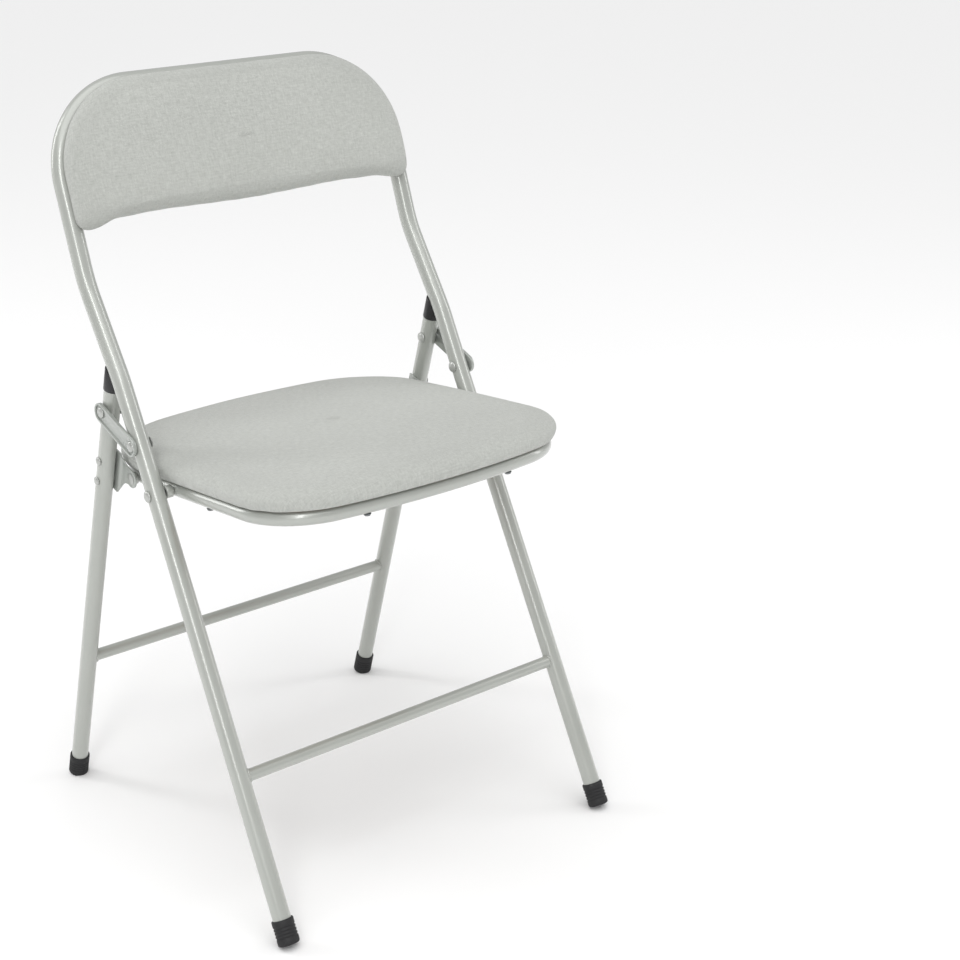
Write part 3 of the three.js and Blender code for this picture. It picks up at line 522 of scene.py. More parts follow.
# %% [markdown]
# ## The front frame
# One long tube makes both front legs, both uprights and the bar across the top. Each side leans
# back more at the waist, then straightens to carry the back pad.

# %% Front frame tube
LEG_START = 0.0085  # the cut end of the leg, inside its rubber foot
half = [front_at(z) for z in (LEG_START, KNEE, WAIST, LUMBAR, TOP)]
radii = [0.400, 0.150, 0.130, 0.095]
frame_path = rounded_path(half + [mirrored(p) for p in reversed(half)], radii + radii[::-1])
tube("frame_tube", frame_path, FRAME_RADIUS, "front_frame", "front_frame_tube", sides=FRAME_SIDES)


# %% [markdown]
# ## Rear legs and crossbars
# The rear legs are straight tubes, cut square. Each pair of legs is tied by a thinner bar whose
# ends run up against the legs and are welded there.

# %% Rear legs and crossbars
LEG_TOP = 0.508
BAR_REACH = 0.6  # how far a bar's end stops short of the leg's line, in radii of the leg
for side, sign in (("left", 1), ("right", -1)):
    ends = [rear_at(LEG_START), rear_at(LEG_TOP)]
    if sign < 0:
        ends = [mirrored(point) for point in ends]
    tube("rear_leg_tube_" + side, ends, REAR_RADIUS, "rear_legs", "rear_leg_" + side)

BARS = {
    "front_crossbar": (front_at, centre_of("front_crossbar").z, FRAME_RADIUS, "front_frame"),
    "rear_crossbar": (rear_at, centre_of("rear_crossbar").z, REAR_RADIUS, "rear_legs"),
}
for node, (line, height, leg_radius, body) in BARS.items():
    end = line(height)
    end.x -= BAR_REACH * leg_radius
    tube(node + "_tube", [mirrored(end), end], BAR_RADIUS, body, node)


# %% [markdown]
# ## Weld beads
# Where a bar meets a leg, the welder leaves a line of small overlapping puddles. The tree spaces
# flattened balls along the joint's line, each a little different in size, from a fixed seed.

# %% Weld bead tree
def bead_tree():
    tree, start, end = new_group(
        "Weld bead", "GeometryNodeTree",
        [("Path", GEOMETRY, None), ("Puddles", "NodeSocketInt", 26), ("Size", FLOAT, 0.0013),
         ("Seed", "NodeSocketInt", 4), ("Finish", "NodeSocketMaterial", None)],
        [("Bead", GEOMETRY)],
    )
    curve = add_node(tree, "GeometryNodeMeshToCurve")
    spaced = add_node(tree, "GeometryNodeResampleCurve")
    ball = add_node(tree, "GeometryNodeMeshIcoSphere", Subdivisions=2)
    place = add_node(tree, "GeometryNodeInstanceOnPoints")
    vary = add_node(tree, "FunctionNodeRandomValue", {"data_type": "FLOAT"})
    vary.inputs[2].default_value = 0.85
    vary.inputs[3].default_value = 1.15
    wire(tree, start.outputs["Path"], curve.inputs["Mesh"])
    wire(tree, curve.outputs[0], spaced.inputs["Curve"])
    wire(tree, start.outputs["Puddles"], spaced.inputs["Count"])
    wire(tree, start.outputs["Size"], ball.inputs["Radius"])
    wire(tree, start.outputs["Seed"], vary.inputs["Seed"])
    wire(tree, spaced.outputs[0], place.inputs["Points"])
    wire(tree, ball.outputs["Mesh"], place.inputs["Instance"])
    wire(tree, vary.outputs[1], place.inputs["Scale"])
    finish_tree(tree, place.outputs[0], start, end)
    return tree


weld_bead = bead_tree()
PUDDLES, PUDDLE_RADIUS, PUDDLE_SINK = 26, 1.3 * MM, 0.2 * MM


def saddle_line(line, height, leg_radius, sign, count=40):
    """Where the bar's surface meets the leg's: out to the leg, nearer where the leg is wide."""
    at = line(height)
    lean = (line(height + 0.01) - at).normalized()
    points = []
    for k in range(count):
        angle = 2 * math.pi * k / count
        out = Vector((0, math.cos(angle), math.sin(angle))) * BAR_RADIUS
        along = Vector((0, lean.y, lean.z)).normalized()
        across = (out - along * out.dot(along)).length
        reach = at.x - math.sqrt(leg_radius ** 2 - across ** 2)
        points.append(Vector((sign * (reach - PUDDLE_SINK), at.y + out.y, at.z + out.z)))
    return points


for node, (line, height, leg_radius, body) in BARS.items():
    points, edges = [], []
    for sign in (1, -1):
        loop = saddle_line(line, height, leg_radius, sign)
        edges += [(a + len(points), b + len(points)) for a, b in chain(len(loop), True)]
        points += loop
    bead = grow(node + "_welds", points, edges, weld_bead,
                {"Puddles": PUDDLES, "Size": PUDDLE_RADIUS, "Finish": paint})
    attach(bead, body)


# %% [markdown]
# ## The seat ring
# Under the seat runs a ring bent from one thinner tube. Its sides are straight, and its front and
# rear are shallow arcs that run into round corners. The same outline, moved outwards, is the edge
# of the seat pad, so one function draws both.

# %% Seat outline and ring
SEAT_TILT = math.radians(5.9)
RING_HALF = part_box("seat_ring")[1][0] - SEAT_RADIUS
RING_FRONT, RING_REAR = 0.203, 0.163
FRONT_CORNER, REAR_CORNER = 0.070, 0.095
FRONT_BOW, REAR_BOW = 0.750, 0.560


def seat_outline(side_out, end_out):
    """Points round the seat: X across, Y forward of the pivot, starting at the middle of the rear."""
    x = RING_HALF + side_out

    def end(reach, bow, corner):
        bow, corner = bow + end_out, corner + side_out
        slope = math.asin((x - corner) / (bow - corner))
        apex = reach + end_out + bow * (1 / math.cos(slope) - 1)
        return bow, corner, apex, apex - x * math.tan(slope)

    front_bow, front_corner, front_apex, front_side = end(RING_FRONT, FRONT_BOW, FRONT_CORNER)
    rear_bow, rear_corner, rear_apex, rear_side = end(RING_REAR, REAR_BOW, REAR_CORNER)
    corners = [
        (0, -rear_apex, rear_bow), (x, -rear_side, rear_corner), (x, front_side, front_corner),
        (0, front_apex, front_bow), (-x, front_side, front_corner), (-x, -rear_side, rear_corner),
    ]
    places = [Vector((cx, cy, 0)) for cx, cy, _ in corners]
    loop = []
    for i, (_, _, radius) in enumerate(corners):
        loop += round_corner(places[i - 1], places[i], places[(i + 1) % 6], radius)
    start = loop.index(min(loop, key=lambda p: (round(abs(p.x), 5), p.y)))
    loop = loop[start:] + loop[:start]
    return [p for i, p in enumerate(loop) if (p - loop[i - 1]).length > 0.0003]


seat_place = (
    Matrix.Translation((0, seat_pivot.y, seat_pivot.z))
    @ Matrix.Rotation(-SEAT_TILT, 4, "X")
    @ Matrix.Rotation(math.pi, 4, "Z")
)
ring_path = [seat_place @ point for point in seat_outline(0, 0)]
tube("seat_ring_tube", ring_path, SEAT_RADIUS, "seat", "seat_ring", closed=True)


# %% [markdown]
# ## Rivets and pins
# The chair folds on domed pins, and small rivets hold the gussets. What shows of each is its head,
# a low dome on a flat rim. One tree sets a dome on every point, and each point carries its own
# size and facing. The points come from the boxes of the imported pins, so no place is typed in.

# %% Rivet head tree
def head_tree():
    tree, start, end = new_group(
        "Rivet heads", "GeometryNodeTree",
        [("Points", GEOMETRY, None), ("Segments", "NodeSocketInt", 28), ("Rings", "NodeSocketInt", 16),
         ("Flatness", FLOAT, 0.12), ("Finish", "NodeSocketMaterial", None)],
        [("Heads", GEOMETRY)],
    )
    ball = add_node(tree, "GeometryNodeMeshUVSphere", Radius=1.0)
    where = add_node(tree, "GeometryNodeInputPosition")
    split = add_node(tree, "ShaderNodeSeparateXYZ")
    join = add_node(tree, "ShaderNodeCombineXYZ")
    shape = add_node(tree, "GeometryNodeSetPosition")
    size, facing = [
        add_node(tree, "GeometryNodeInputNamedAttribute", {"data_type": "FLOAT_VECTOR"}, Name=name)
        for name in ("size", "facing")
    ]
    turn = add_node(tree, "FunctionNodeEulerToRotation")
    place = add_node(tree, "GeometryNodeInstanceOnPoints")
    wire(tree, start.outputs["Segments"], ball.inputs["Segments"])
    wire(tree, start.outputs["Rings"], ball.inputs["Rings"])
    wire(tree, where.outputs[0], split.inputs[0])
    low = arithmetic(tree, "MULTIPLY", split.outputs["Z"], start.outputs["Flatness"])
    wire(tree, split.outputs["X"], join.inputs["X"])
    wire(tree, split.outputs["Y"], join.inputs["Y"])
    wire(tree, arithmetic(tree, "MAXIMUM", split.outputs["Z"], low), join.inputs["Z"])
    wire(tree, ball.outputs["Mesh"], shape.inputs["Geometry"])
    wire(tree, join.outputs[0], shape.inputs["Position"])
    wire(tree, start.outputs["Points"], place.inputs["Points"])
    wire(tree, shape.outputs[0], place.inputs["Instance"])
    wire(tree, size.outputs["Attribute"], place.inputs["Scale"])
    wire(tree, facing.outputs["Attribute"], turn.inputs[0])
    wire(tree, turn.outputs[0], place.inputs["Rotation"])
    finish_tree(tree, place.outputs[0], start, end)
    return tree


rivet_heads = head_tree()
RIM_SHARE = 0.12  # the flat rim's height, as a share of the dome's
PIN_HEAD, RIVET_HEAD, FLAT_HEAD = (6.0 * MM, 2.4 * MM), (4.6 * MM, 2.0 * MM), (6.0 * MM, 0.9 * MM)
HEADS = {
    "front_frame": [("link_pivot_pin", PIN_HEAD, "both")],
    "seat": [("seat_pivot_pin", PIN_HEAD, "outer"), ("gusset_pivot_pin", FLAT_HEAD, "outer")],
    "rear_legs": [("gusset_rivet_1", RIVET_HEAD, "both"), ("gusset_rivet_2", RIVET_HEAD, "both"),
                  ("leg_pivot_pin", PIN_HEAD, "inner")],
    "link_left": [("link_end_rivet", PIN_HEAD, "outer")],
    "link_right": [("link_end_rivet", PIN_HEAD, "outer")],
}
for body, pins in HEADS.items():
    points, sizes, facings, nodes = [], [], [], []
    sides = [body[5:]] if body.startswith("link_") else ["left", "right"]
    for side in sides:
        sign = 1 if side == "left" else -1
        for pin, (radius, height), ends in pins:
            low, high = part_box(f"{pin}_{side}")
            middle = (Vector(low) + Vector(high)) / 2
            outer, inner = (high[0], low[0]) if sign > 0 else (low[0], high[0])
            nodes.append(f"{pin}_{side}")
            for end, face, way in (("outer", outer, sign), ("inner", inner, -sign)):
                if ends in ("both", end):
                    points.append((face - way * height, middle.y, middle.z))
                    facings.append((0, way * math.pi / 2, 0))
                    sizes.append((radius, radius, height))
    heads = grow(body + "_pin_heads", points, [], rivet_heads,
                 {"Flatness": RIM_SHARE, "Finish": rivet_steel},
                 {"size": sizes, "facing": facings})
    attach(heads, body)
    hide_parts(*nodes)


# %% [markdown]
# ## Pressed steel, tabs, spacers and screws
# The links, gussets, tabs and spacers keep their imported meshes, which are loose triangles with hard
# corners. Real sheet has a small round on every edge, and that thin round is what catches the
# light. Modifiers do both jobs without touching the mesh: one tree joins the triangles and shades
# them smooth, and a Bevel rounds the edges and keeps the flat faces looking flat.

# %% Joined shell tree
def shell_tree():
    tree, start, end = new_group(
        "Joined shell", "GeometryNodeTree",
        [("Shell", GEOMETRY, None), ("Distance", FLOAT, 0.00001)], [("Shell", GEOMETRY)],
    )
    merge = add_node(tree, "GeometryNodeMergeByDistance")
    smooth = add_node(tree, "GeometryNodeSetShadeSmooth")
    wire(tree, start.outputs["Shell"], merge.inputs["Geometry"])
    wire(tree, start.outputs["Distance"], merge.inputs["Distance"])
    wire(tree, merge.outputs[0], smooth.inputs["Geometry"])
    wire(tree, smooth.outputs[0], end.inputs[0])
    return tree


joined_shell = shell_tree()
ROUND_STEPS, SHARP_ANGLE = 2, math.radians(38)


def finish_node(name, material, edge):
    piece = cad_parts[name]
    piece.modifiers.new("Join", "NODES").node_group = joined_shell
    bevel = piece.modifiers.new("Edge round", "BEVEL")
    bevel.width = edge
    bevel.segments = ROUND_STEPS
    bevel.limit_method = "ANGLE"
    bevel.angle_limit = SHARP_ANGLE
    bevel.harden_normals = True
    if piece.data.materials:
        for index in range(len(piece.data.materials)):
            piece.data.materials[index] = material
    else:
        piece.data.materials.append(material)


for side in ("left", "right"):
    for name, material, edge in (
        ("gusset", painted_plate, 0.35 * MM),
        ("link_plate", painted_plate, 0.30 * MM),
        ("seat_pivot_spacer", paint, 0.5 * MM),
        ("gusset_pivot_spacer", rivet_steel, 0.3 * MM),
        *((f"back_tab_{i}", paint, 0.3 * MM) for i in (1, 2)),
        *((f"{pad}_screw_{i}", screw_steel, 0.25 * MM) for pad in ("back", "seat") for i in (1, 2)),
        ("rear_bumper", bumper_plastic, 0.8 * MM),
    ):
        finish_node(f"{name}_{side}", material, edge)
for name in ("back_board", "seat_board"):
    finish_node(name, pressed_board, 0.8 * MM)
print("plates, spacers, screws, bumpers and boards finished")


# %% [markdown]
# ## Rubber feet
# Each foot is a ribbed rubber cup, worn flat where it stands on the floor. It is turned round the
# leg's own line from a profile with raised ribs, and whatever would dip below the floor is pressed
# up to it, as the leg's weight does.

# %% Rubber feet
def lathe(name, origin, direction, profile, sides=48):
    """A closed turned shape: the profile lists (distance along, radius) and ends on the line."""
    side = direction.cross(Vector((1, 0, 0))).normalized()
    up = direction.cross(side).normalized()
    shape = bmesh.new()
    rings = []
    for along, radius in profile:
        place = origin + direction * along
        if radius == 0:
            rings.append([shape.verts.new(place)])
            continue
        rings.append([
            shape.verts.new(place + (side * math.cos(a) + up * math.sin(a)) * radius)
            for a in (2 * math.pi * k / sides for k in range(sides))
        ])
    for lower, upper in zip(rings, rings[1:]):
        for k in range(sides):
            n = (k + 1) % sides
            if len(lower) == 1:
                shape.faces.new((lower[0], upper[k], upper[n]))
            elif len(upper) == 1:
                shape.faces.new((lower[k], upper[0], lower[n]))
            else:
                shape.faces.new((lower[k], upper[k], upper[n], lower[n]))
    mesh = bpy.data.meshes.new(name)
    shape.to_mesh(mesh)
    shape.free()
    return mesh


def close_outwards(mesh):
    shape = bmesh.new()
    shape.from_mesh(mesh)
    bmesh.ops.remove_doubles(shape, verts=shape.verts, dist=0.00002)
    bmesh.ops.recalc_face_normals(shape, faces=shape.faces)
    if shape.calc_volume(signed=True) < 0:
        bmesh.ops.reverse_faces(shape, faces=shape.faces)
    for face in shape.faces:
        face.smooth = True
    shape.to_mesh(mesh)
    shape.free()


def add_piece(name, mesh, body, slot, material, *nodes):
    piece = bpy.data.objects.new(name, mesh)
    bpy.context.collection.objects.link(piece)
    mesh.materials.append(material)
    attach(piece, body)
    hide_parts(*nodes)
    return piece


FOOT_LENGTH, FOOT_WALL, SOLE_FLAT = 0.026, 0.0018, 0.0016
RIB_PITCH, RIB_HEIGHT = 0.0034, 0.0007


def foot_profile(tube_radius):
    outer = tube_radius + FOOT_WALL
    profile = [(0.0, 0), (0.0, outer - 0.0016), (0.0006, outer - 0.0005), (0.0018, outer)]
    along = 0.0075
    profile.append((along - 0.0006, outer))
    while along + RIB_PITCH < FOOT_LENGTH - 0.002:
        profile += [(along, outer - RIB_HEIGHT), (along + 0.35 * RIB_PITCH, outer - RIB_HEIGHT),
                    (along + 0.5 * RIB_PITCH, outer), (along + 0.85 * RIB_PITCH, outer)]
        along += RIB_PITCH
    profile += [(FOOT_LENGTH - 0.0012, outer), (FOOT_LENGTH - 0.0003, outer - 0.0004),
                (FOOT_LENGTH, outer - 0.0010), (FOOT_LENGTH, tube_radius - 0.0004),
                (FOOT_LENGTH - 0.003, tube_radius - 0.0006), (FOOT_LENGTH - 0.003, 0)]
    return profile


for side, sign in (("left", 1), ("right", -1)):
    for end, line, radius, body in (
        ("front", front_at, FRAME_RADIUS, "front_frame"), ("rear", rear_at, REAR_RADIUS, "rear_legs")
    ):
        low, high = line(0.0), line(0.1)
        if sign < 0:
            low, high = mirrored(low), mirrored(high)
        direction = (high - low).normalized()
        lean = math.acos(direction.z)
        outer = radius + FOOT_WALL
        start = low + direction * ((outer * math.sin(lean) - SOLE_FLAT) / direction.z)
        name = f"{end}_foot_{side}"
        mesh = lathe(name + "_rubber", start, direction, foot_profile(radius))
        for vertex in mesh.vertices:
            vertex.co.z = max(vertex.co.z, 0.0)
        close_outwards(mesh)
        add_piece(name + "_rubber", mesh, body, "rubber", foot_rubber, name)
print("four ribbed feet")


# %% [markdown]
# ## Padded shapes
# A pad is foam under a pulled cover. Its outline is the same all the way up, so the shape is built
# as a stack of loops, each the outline drawn in by an inset and lifted to a height. A hollow in the
# underside holds the stiff board. The loops also tell where the cloth lies: the cover's own flat
# coordinates grow by the distance travelled round the edge, which keeps the weave from stretching.

# %% Pad builder
def even_outline(points, count):
    lengths = [0.0]
    for a, b in zip(points, points[1:] + points[:1]):
        lengths.append(lengths[-1] + (b - a).length)
    total, result, i = lengths[-1], [], 0
    for k in range(count):
        want = total * k / count
        while lengths[i + 1] < want:
            i += 1
        share = (want - lengths[i]) / (lengths[i + 1] - lengths[i])
        result.append(points[i].lerp(points[(i + 1) % len(points)], share))
    return result


def outward_normals(points):
    normals = []
    for i, point in enumerate(points):
        ahead = points[(i + 2) % len(points)] - points[i - 2]
        normals.append(Vector((ahead.y, -ahead.x, 0)).normalized())
    area = sum(a.x * b.y - b.x * a.y for a, b in zip(points, points[1:] + points[:1]))
    return normals if area > 0 else [-n for n in normals]


def held(share):
    return max(0.0, min(1.0, share))


def bell(value, centre, width, power=2):
    return math.exp(-(((value - centre) / width) ** power))


def in_mm(*rows):
    return [(inset * MM, height * MM) for inset, height in rows]


TOP_SHARES = (0.93, 0.85, 0.76, 0.66, 0.55, 0.44, 0.33, 0.22, 0.12, 0.05)


def crown(base, rise, power=1.0):
    """The rows of a pad's top, each the share of the way out and its height."""
    return [(share, (base + rise * (1 - share * share) ** power) * MM) for share in TOP_SHARES]


def pad_mesh(name, outline, underside, edge, top_rings, place, inset_limit, bulge, even=0):
    """underside and edge list (inset, height) from the hollow out and up; top_rings list (share, height).
    The loops even out as they close in, so a dip in the outline leaves no crease on the pad."""
    normals = outward_normals(outline)
    centre = sum(outline, Vector()) / len(outline)

    def evened(loop, rounds):
        for _ in range(rounds):
            loop = [(loop[i - 1] + 2 * p + loop[(i + 1) % len(loop)]) / 4 for i, p in enumerate(loop)]
        return loop

    rows = []
    travelled, before = 0.0, None
    for inset, height in underside + edge:
        travelled += 0 if before is None else math.dist(before, (inset, height))
        before = (inset, height)
        row = []
        base = evened(outline, int(even * inset * 1000) if (inset, height) in edge[4:] else 0)
        for point, normal in zip(base, normals):
            near = min(inset, inset_limit)
            moved = point - normal * near
            if inset > inset_limit:
                reach = (point - centre).length
                moved = centre + (moved - centre) * (1 - (inset - inset_limit) / reach)
            moved = moved + normal * bulge(point, normal, inset, height)
            row.append(Vector((moved.x, moved.y, height)))
        rows.append((row, travelled))
    rim, rim_travel = rows[-1]
    loop = [Vector((p.x, p.y, 0)) for p in rim]
    for share, height in top_rings:
        loop = evened(loop, 14)
        row = [Vector((*(centre + (p - centre) * share).xy, height)) for p in loop]
        rows.append((row, rim_travel))
    vertices, cloth = [], []
    for row, travel in rows:
        over = rim_travel - travel
        for point, normal in zip(row, normals):
            vertices.append(point)
            cloth.append((point.x + normal.x * over, point.y + normal.y * over, 0.0))
    count, faces = len(outline), []
    for r in range(len(rows) - 1):
        for k in range(count):
            n = (k + 1) % count
            faces.append((r * count + k, r * count + n, (r + 1) * count + n, (r + 1) * count + k))
    for row_index, flip in ((0, True), (len(rows) - 1, False)):
        row = rows[row_index][0]
        vertices.append(sum(row, Vector()) / count)
        cloth.append((vertices[-1].x, vertices[-1].y, 0.0))
        hub = len(vertices) - 1
        base = row_index * count
        for k in range(count):
            n = (k + 1) % count
            faces.append((base + n, base + k, hub) if flip else (base + k, base + n, hub))
    mesh = bpy.data.meshes.new(name)
    mesh.from_pydata([tuple(place @ v) for v in vertices], [], faces)
    layer = mesh.attributes.new("cloth", "FLOAT_VECTOR", "POINT")
    layer.data.foreach_set("vector", [number for value in cloth for number in value])
    close_outwards(mesh)
    return mesh, len(underside) * count


# %% [markdown]
# ## Filling the pads
# Foam pushes the cover out until the cloth is taut. Blender's Cloth does that with pressure inside
# a closed shape. The tacked underside is pinned, and no point may travel further than a set cap, so
# the pad keeps its size. The simulated swelling is then kept in the mesh and the Cloth removed.

# %% Cloth filling
def even_steps(mesh, steps, held, rounds=24):
    """Shares each point's travel with its neighbours, so that the foam has no dimples or creases."""
    neighbours = [[] for _ in steps]
    for edge in mesh.edges:
        a, b = edge.vertices
        neighbours[a].append(b)
        neighbours[b].append(a)
    for _ in range(rounds):
        steps = [
            steps[i] if i in held else sum((steps[n] for n in near), steps[i].copy()) / (len(near) + 1)
            for i, near in enumerate(neighbours)
        ]
    return steps


def fill_with_foam(piece, pinned, cap, pressure=4.0, frames=14):
    mesh = piece.data
    start = [vertex.co.copy() for vertex in mesh.vertices]
    group = piece.vertex_groups.new(name="tacked")
    group.add(pinned, 1.0, "REPLACE")
    cloth = piece.modifiers.new("Foam", "CLOTH")
    settings = cloth.settings
    settings.quality = 6
    settings.mass = 0.3
    settings.tension_stiffness = settings.compression_stiffness = 25
    settings.bending_stiffness = 1.5
    settings.use_pressure = True
    settings.uniform_pressure_force = pressure
    settings.effector_weights.gravity = 0
    settings.vertex_group_mass = "tacked"
    cloth.point_cache.frame_start = 1
    cloth.point_cache.frame_end = frames
    scene = bpy.context.scene
    for number in range(1, frames + 1):
        scene.frame_set(number)
    swollen = piece.evaluated_get(bpy.context.evaluated_depsgraph_get()).to_mesh()
    moved = [vertex.co.copy() for vertex in swollen.vertices]
    piece.to_mesh_clear()
    piece.modifiers.remove(cloth)
    piece.vertex_groups.remove(group)
    scene.frame_set(1)
    steps = [new - old for old, new in zip(start, moved)]
    steps = even_steps(mesh, [step * min(1, cap / max(step.length, 1e-9)) for step in steps], set(pinned))
    for vertex, old, step in zip(mesh.vertices, start, steps):
        vertex.co = old + step
    mesh.update()
    print(piece.name, "swelled by up to", round(max(step.length for step in steps) * 1000, 1), "mm")


def settle(piece, keep, rounds=2):
    """Evens out the free points a little, then adds one level of subdivision and keeps it."""
    shape = bmesh.new()
    shape.from_mesh(piece.data)
    shape.verts.ensure_lookup_table()
    free = [vertex for vertex in shape.verts if vertex.index not in keep]
    for _ in range(rounds):
        bmesh.ops.smooth_vert(
            shape, verts=free, factor=0.4, use_axis_x=True, use_axis_y=True, use_axis_z=True)
    shape.to_mesh(piece.data)
    shape.free()
    finer = piece.modifiers.new("Finer", "SUBSURF")
    finer.levels = finer.render_levels = 1
    bpy.context.view_layer.update()
    mesh = bpy.data.meshes.new_from_object(piece.evaluated_get(bpy.context.evaluated_depsgraph_get()))
    piece.modifiers.remove(finer)
    piece.data = mesh
    print(piece.name, len(mesh.polygons), "faces")


# %% [markdown]
# ## The seat pad
# The seat is a thick pad with well rounded edges, tucked in where the cover passes under it. It
# stands a little proud at the rear and at the sides, except where the gussets swing past.

# %% Seat pad
SIDE_OVERHANG, END_OVERHANG = 0.0122, 0.0155
GUSSET_REACH = (gusset_pivot - seat_pivot).length


GUSSET_SPAN = 0.045
EDGE_BAND, BAND_LOW, BAND_RISE = 0.020, 0.009, 0.008  # the part of the edge that stands proud
SIDE_PROUD, REAR_PROUD = 0.0026, 0.0035
PINCH, PINCH_AT, PINCH_SPAN, PINCH_BAND, PINCH_TOP = 0.0015, 0.150, 0.045, 0.012, 0.016


def seat_bulge(point, normal, inset, height):
    low = held((height - BAND_LOW) / BAND_RISE) * (1.0 if inset < EDGE_BAND else 0.0)
    side = SIDE_PROUD * abs(normal.x) ** 2 * (1 - bell(point.y, -GUSSET_REACH, GUSSET_SPAN, 4))
    rear = REAR_PROUD * max(0.0, -normal.y) ** 2
    corner = bell(point.y, PINCH_AT, PINCH_SPAN) * abs(normal.x)
    fade = (1.0 if height < PINCH_TOP else 0.3) * (1.0 if inset < PINCH_BAND else 0.0)
    ripple = PINCH * math.sin(point.y * 300 + abs(point.x) * 140) * corner * fade
    return (side + rear) * low * max(0.0, 1 - inset / EDGE_BAND) + ripple


SEAT_COLUMNS = 176
seat_edge_line = even_outline(seat_outline(SIDE_OVERHANG, END_OVERHANG), SEAT_COLUMNS)
SEAT_UNDER = in_mm((60, 15.0), (30, 15.0), (8.6, 15.0), (8.6, 8.6))
SEAT_EDGE = in_mm(
    (6.0, 8.3), (3.6, 8.9), (1.9, 10.8), (0.8, 13.6), (0.2, 17.0), (0.6, 20.6), (2.2, 24.0), (4.8, 27.0),
    (8.4, 29.2), (13.0, 30.6), (18.5, 31.6), (26.0, 32.6))
SEAT_INSET, SEAT_FILL, SEAT_TRAVEL = 0.030, 0.85, 1.6 * MM
mesh, tacked = pad_mesh(
    "seat_pad", seat_edge_line, SEAT_UNDER, SEAT_EDGE, crown(32.6, 4.2, 0.9), seat_place, SEAT_INSET,
    seat_bulge)
seat_pad = add_piece("seat_pad", mesh, "seat", "fabric", grey_canvas, "seat_cushion")
seat_pinned = list(range(tacked + 2 * len(seat_edge_line)))
fill_with_foam(seat_pad, seat_pinned, SEAT_TRAVEL)
settle(seat_pad, set(seat_pinned))


# %% [markdown]
# ## The back pad
# The back is a thinner pad laid against the front of the tubes. Its upper corners follow the bend
# of the tube, its lower corners hang a little and fold, and its lower edge waves where the cover is
# tacked behind.

# %% Back pad
PAD_SIDE, PAD_BOTTOM, PAD_CORNER = 0.2062, 0.6635, 0.097
PAD_RISE = 0.0034  # the cover laps over the front of the top bar
LOWER_CORNER, HANG_FROM, HANG_SPAN = 0.013, 0.163, 0.026
RIGHT_HANG, LEFT_HANG = 0.0080, 0.0055
WAVE, WAVE_AT, WAVE_SPAN, DIP_SPAN = 0.0014, 0.110, 0.035, 0.045
CREASE, CREASE_AT, CREASE_SPAN, CREASE_TOP, CREASE_BAND = 0.0008, 0.186, 0.012, 0.675, 0.008
RIPPLE, RIPPLE_TOP = 0.0002, 0.020
back_slant = math.atan(BACK_SLOPE)


def up_the_back(z):
    return (z - LUMBAR) / math.cos(back_slant)


back_place = (
    Matrix.Translation((0, front_y(LUMBAR), LUMBAR))
    @ Matrix.Rotation(math.pi / 2 - back_slant, 4, "X")
)


def pad_outline():
    top, bottom = up_the_back(TOP) + PAD_RISE, up_the_back(PAD_BOTTOM)
    turn_in = PAD_SIDE - LOWER_CORNER

    def half(hang):
        """From the middle of the lower edge round to the middle of the top."""
        line = []
        for k in range(41):
            x = turn_in * k / 40
            wave = WAVE * (bell(x, WAVE_AT, WAVE_SPAN) - bell(x, 0, DIP_SPAN))
            fall = held((x - HANG_FROM) / HANG_SPAN)
            line.append(Vector((x, bottom + wave - hang * fall * fall * (3 - 2 * fall), 0)))
        low = line[-1].y
        line += [Vector((turn_in + LOWER_CORNER * math.sin(a),
                         low + LOWER_CORNER - LOWER_CORNER * math.cos(a), 0))
                 for a in (math.radians(d) for d in range(10, 91, 10))]
        centre = Vector((PAD_SIDE - PAD_CORNER, top - PAD_CORNER, 0))
        return line + [centre + PAD_CORNER * Vector((math.cos(a), math.sin(a), 0))
                       for a in (math.radians(d) for d in range(0, 91, 3))]

    return half(LEFT_HANG) + [mirrored(p) for p in reversed(half(RIGHT_HANG)) if p.x > 0.0001]


def pad_bulge(point, normal, inset, height):
    low = 1.0 if point.y < up_the_back(CREASE_TOP) else 0.0
    crease = bell(abs(point.x), CREASE_AT, CREASE_SPAN) * low
    ripple = RIPPLE * math.sin(point.x * 200 + point.y * 90) * (1.0 if height < RIPPLE_TOP else 0.2)
    return (-CREASE * crease + ripple) * (1.0 if inset < CREASE_BAND else 0.0)


BACK_COLUMNS = 200
back_edge_line = even_outline(pad_outline(), BACK_COLUMNS)
BACK_UNDER = in_mm((40, 15.4), (20, 15.4), (3.6, 15.4), (3.6, 10.0))
BACK_EDGE = in_mm(
    (2.4, 9.8), (1.0, 10.4), (0.2, 12.2), (0.0, 15.0), (0.1, 18.4), (0.9, 21.6), (2.6, 24.3), (5.2, 26.4),
    (9.0, 27.8), (14.5, 28.6))
BACK_INSET, BACK_FILL, BACK_TRAVEL, BACK_EVEN = 0.0066, 0.7, 1.2 * MM, 5
mesh, tacked = pad_mesh(
    "back_cover", back_edge_line, BACK_UNDER, BACK_EDGE, crown(28.6, 3.2), back_place, BACK_INSET, pad_bulge,
    even=BACK_EVEN)
back_cover = add_piece("back_cover", mesh, "front_frame", "fabric", grey_canvas, "back_pad")
back_pinned = list(range(tacked + 2 * len(back_edge_line)))
fill_with_foam(back_cover, back_pinned, BACK_TRAVEL)
settle(back_cover, set(back_pinned))


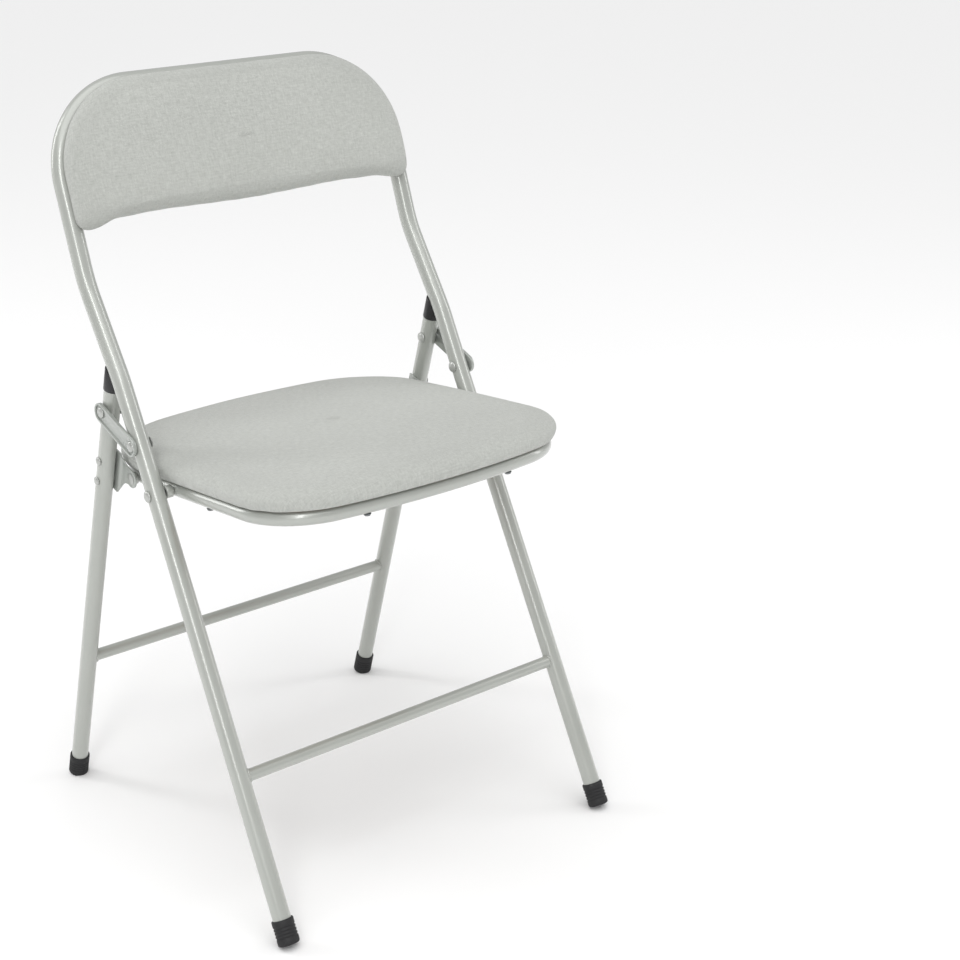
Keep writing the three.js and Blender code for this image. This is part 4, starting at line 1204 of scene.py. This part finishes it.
# %% [markdown]
# ## Floor and light
# A plain pale floor that runs past the view, a soft sky, a broad lamp overhead and three tall panels
# round the chair. The tall panels are what make the long bright lines on the painted tubes.

# %% Floor and light
FLOOR_REACH, FLOOR_DROP = 30, 0.4 * MM
AIM = Vector((0, 0, 0.4))
floor_mesh = bpy.data.meshes.new("floor")
floor_mesh.from_pydata(
    [(x * FLOOR_REACH, y * FLOOR_REACH, 0) for x, y in ((-1, -1), (1, -1), (1, 1), (-1, 1))],
    [], [(0, 1, 2, 3)])
floor = bpy.data.objects.new("floor", floor_mesh)
floor.location.z = -FLOOR_DROP
bpy.context.collection.objects.link(floor)
floor_paint, _, floor_shader = new_material("pale_floor")
floor_shader.inputs["Base Color"].default_value = (0.93, 0.93, 0.93, 1)
floor_shader.inputs["Roughness"].default_value = 0.9
floor_mesh.materials.append(floor_paint)

sky = bpy.data.worlds.new("sky")
sky.use_nodes = True
sky.node_tree.nodes["Background"].inputs["Color"].default_value = (1, 1, 1, 1)
sky.node_tree.nodes["Background"].inputs["Strength"].default_value = 0.50
bpy.context.scene.world = sky
bpy.context.scene.view_settings.view_transform = "Standard"


def soft_panel(name, place, size, power):
    light = bpy.data.lights.new(name, "AREA")
    light.shape = "RECTANGLE"
    light.size, light.size_y = size
    light.energy = power
    panel = bpy.data.objects.new(name, light)
    panel.location = place
    panel.rotation_mode = "QUATERNION"
    panel.rotation_quaternion = (AIM - Vector(place)).to_track_quat("-Z", "Y")
    bpy.context.collection.objects.link(panel)


overhead = bpy.data.lights.new("overhead", "SUN")
overhead.energy = 1.45
overhead.angle = math.radians(70)
overhead_lamp = bpy.data.objects.new("overhead", overhead)
overhead_lamp.rotation_euler = (math.radians(12), math.radians(-10), 0)
bpy.context.collection.objects.link(overhead_lamp)
soft_panel("key", (-2.0, -2.0, 2.0), (0.5, 2.2), 26)
soft_panel("side", (2.2, -1.0, 1.4), (0.4, 2.0), 10)
soft_panel("rear", (-1.4, 2.0, 1.6), (0.5, 2.0), 14)
print("floor, overhead lamp and three panels")
